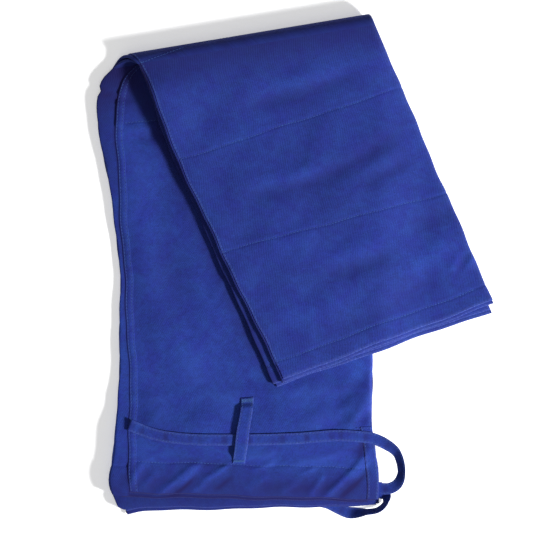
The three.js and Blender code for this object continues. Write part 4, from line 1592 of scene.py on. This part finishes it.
VIEW_CENTRE = (-0.0297, -0.0022)
FLOOR_HALF = 4.0  # metres
FLOOR_GLOW = 0.42  # light that the floor gives off, which keeps its shadows pale
KEY_LIGHT = ((2.05, -1.05, 1.45), 0.42)  # place and size
FILL_LIGHT = ((-0.2, -0.6, 2.8), 2.0)
SENSOR = 36.0  # mm


def area_light(name, place, size, power):
    """A square soft light that faces the trousers."""
    data = bpy.data.lights.new(name, "AREA")
    data.shape = "SQUARE"
    data.size = size
    data.energy = power
    light = bpy.data.objects.new(name, data)
    bpy.context.scene.collection.objects.link(light)
    light.location = place
    light.rotation_euler = (-Vector(place)).to_track_quat("-Z", "Y").to_euler()


class TROUSERS_OT_stage(bpy.types.Operator):
    """Make the floor, the lights and the camera"""

    bl_idname = "trousers.stage"
    bl_label = "Stage"

    def execute(self, context):
        stage = context.scene.trouser_stage
        camera_data = bpy.data.cameras.new("Camera")
        camera = bpy.data.objects.new("Camera", camera_data)
        context.scene.collection.objects.link(camera)
        context.scene.camera = camera
        camera.location = (*VIEW_CENTRE, stage.camera_height)
        camera_data.sensor_width = SENSOR
        camera_data.lens = SENSOR * stage.camera_height / stage.view_width
        camera_data.clip_end = 100
        view = context.scene.view_settings
        view.view_transform = "Standard"
        half = FLOOR_HALF * 1000
        shares = np.linspace(-1, 1, 41)
        x, y = np.meshgrid(shares * half, shares * half)
        floor = np.stack([x, y, np.full_like(x, -0.05)], axis=-1)
        material = bpy.data.materials.new("Floor")
        material.use_nodes = True
        nodes, links = material.node_tree.nodes, material.node_tree.links
        shader = nodes["Principled BSDF"]
        where = put(nodes, links, "ShaderNodeTexCoord")
        grain = put(nodes, links, "ShaderNodeTexNoise", {"Scale": 3.0, "Detail": 3.0},
                    {"Vector": where.outputs["Object"]})
        tone = put(nodes, links, "ShaderNodeMapRange", {"To Min": 0.985, "To Max": 1.015},
                   {"Value": grain.outputs["Fac"]})
        colour = put(nodes, links, "ShaderNodeVectorMath", {0: stage.floor_colour},
                     {"Scale": tone.outputs[0]}, operation="SCALE")
        links.new(colour.outputs[0], shader.inputs["Base Color"])
        shader.inputs["Roughness"].default_value = 0.9
        shader.inputs["Specular IOR Level"].default_value = 0.1
        shader.inputs["Emission Color"].default_value = (1, 1, 1, 1)
        shader.inputs["Emission Strength"].default_value = FLOOR_GLOW
        lines, columns = floor.shape[:2]
        index = np.arange(lines * columns).reshape(lines, columns)
        faces = np.stack([index[:-1, :-1], index[:-1, 1:], index[1:, 1:], index[1:, :-1]], axis=-1)
        add_mesh("floor", floor.reshape(-1, 3), faces.reshape(-1, 4), material)
        area_light("Key light", *KEY_LIGHT, stage.key_power)
        area_light("Fill light", *FILL_LIGHT, stage.fill_power)
        world = bpy.data.worlds.new("Studio")
        context.scene.world = world
        world.use_nodes = True
        sky = world.node_tree.nodes["Background"]
        sky.inputs[0].default_value = (1, 1, 1, 1)
        sky.inputs[1].default_value = stage.sky
        return {"FINISHED"}


class TROUSERS_OT_drawstring(bpy.types.Operator):
    """Make the drawstring's free ends and its runs in the casing"""

    bl_idname = "trousers.drawstring"
    bl_label = "Drawstring"

    def execute(self, context):
        settings = context.scene.trouser_cloth
        materials = finishes(settings)
        for name, end in TAPE_ENDS:
            make_tape_end(name, end, materials)
        make_runs(materials)
        for name, end in TAPE_ENDS:
            stitch_tape(name, end, materials, settings)
        return {"FINISHED"}


class TROUSERS_OT_panels(bpy.types.Operator):
    """Make the front and back of both legs: thighs, folds and shins"""

    bl_idname = "trousers.panels"
    bl_label = "Leg panels"

    def execute(self, context):
        materials = finishes(context.scene.trouser_cloth)
        for leg in LEGS:
            for side in ("front", "back"):
                for section in ("thigh", "fold", "shin"):
                    make_panel(leg, side, section, materials)
        return {"FINISHED"}


class TROUSERS_OT_knee_patches(bpy.types.Operator):
    """Make the knee patches, which reach from the thighs to the hems"""

    bl_idname = "trousers.knee_patches"
    bl_label = "Knee patches"

    def execute(self, context):
        materials = finishes(context.scene.trouser_cloth)
        for leg in LEGS:
            for section in ("thigh", "fold", "shin"):
                make_patch(leg, section, materials)
        return {"FINISHED"}


class TROUSERS_OT_edges(bpy.types.Operator):
    """Make the hems, the waist casings, the slit facings and the felled seam"""

    bl_idname = "trousers.edges"
    bl_label = "Hems, casings and seams"

    def execute(self, context):
        materials = finishes(context.scene.trouser_cloth)
        for leg in LEGS:
            for side in ("front", "back"):
                make_hem(leg, side, materials)
                make_casing(leg, side, materials)
            make_facing(leg, materials)
        make_felled_seam(LEFT, materials)
        return {"FINISHED"}


class TROUSERS_OT_belt_loops(bpy.types.Operator):
    """Make the belt loops"""

    bl_idname = "trousers.belt_loops"
    bl_label = "Belt loops"

    def execute(self, context):
        settings = context.scene.trouser_cloth
        materials = finishes(settings)
        for leg, rise in ((LEFT, LOOP_RISE), (RIGHT, 0.0)):
            make_belt_loop(leg, rise, materials)
            stitch_loop(leg, rise, materials, settings)
        return {"FINISHED"}


class TROUSERS_OT_stitching(bpy.types.Operator):
    """Sew the rows of stitching"""

    bl_idname = "trousers.stitching"
    bl_label = "Stitching"

    def execute(self, context):
        settings = context.scene.trouser_cloth
        materials = finishes(settings)
        for leg in LEGS:
            stitch_thigh(leg, materials, settings)
            stitch_fold(leg, materials, settings)
            stitch_shin(leg, materials, settings)
        return {"FINISHED"}


OPERATORS = (
    TROUSERS_OT_stage,
    TROUSERS_OT_drawstring,
    TROUSERS_OT_panels,
    TROUSERS_OT_knee_patches,
    TROUSERS_OT_edges,
    TROUSERS_OT_belt_loops,
    TROUSERS_OT_stitching,
)


class TROUSERS_PT_panel(bpy.types.Panel):
    """The settings and the steps, in order"""

    bl_idname = "TROUSERS_PT_panel"
    bl_label = "Folded trousers"
    bl_space_type = "VIEW_3D"
    bl_region_type = "UI"
    bl_category = "Trousers"

    def draw(self, context):
        layout = self.layout
        for settings in (context.scene.trouser_cloth, context.scene.trouser_stage):
            for name in settings.__annotations__:
                layout.prop(settings, name)
        for operator in OPERATORS:
            layout.operator(operator.bl_idname)


CLASSES = (ClothSettings, StageSettings, *OPERATORS, TROUSERS_PT_panel)


def register():
    """Registers the classes and puts the settings on the scene."""
    for cls in CLASSES:
        bpy.utils.register_class(cls)
    bpy.types.Scene.trouser_cloth = bpy.props.PointerProperty(type=ClothSettings)
    bpy.types.Scene.trouser_stage = bpy.props.PointerProperty(type=StageSettings)


def unregister():
    """Takes the settings off the scene and unregisters the classes."""
    del bpy.types.Scene.trouser_stage
    del bpy.types.Scene.trouser_cloth
    for cls in reversed(CLASSES):
        bpy.utils.unregister_class(cls)


def main():
    """Makes every piece in order."""
    register()
    for operator in OPERATORS:
        group, name = operator.bl_idname.split(".")
        getattr(getattr(bpy.ops, group), name)()
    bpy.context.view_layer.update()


if __name__ == "__main__":
    main()
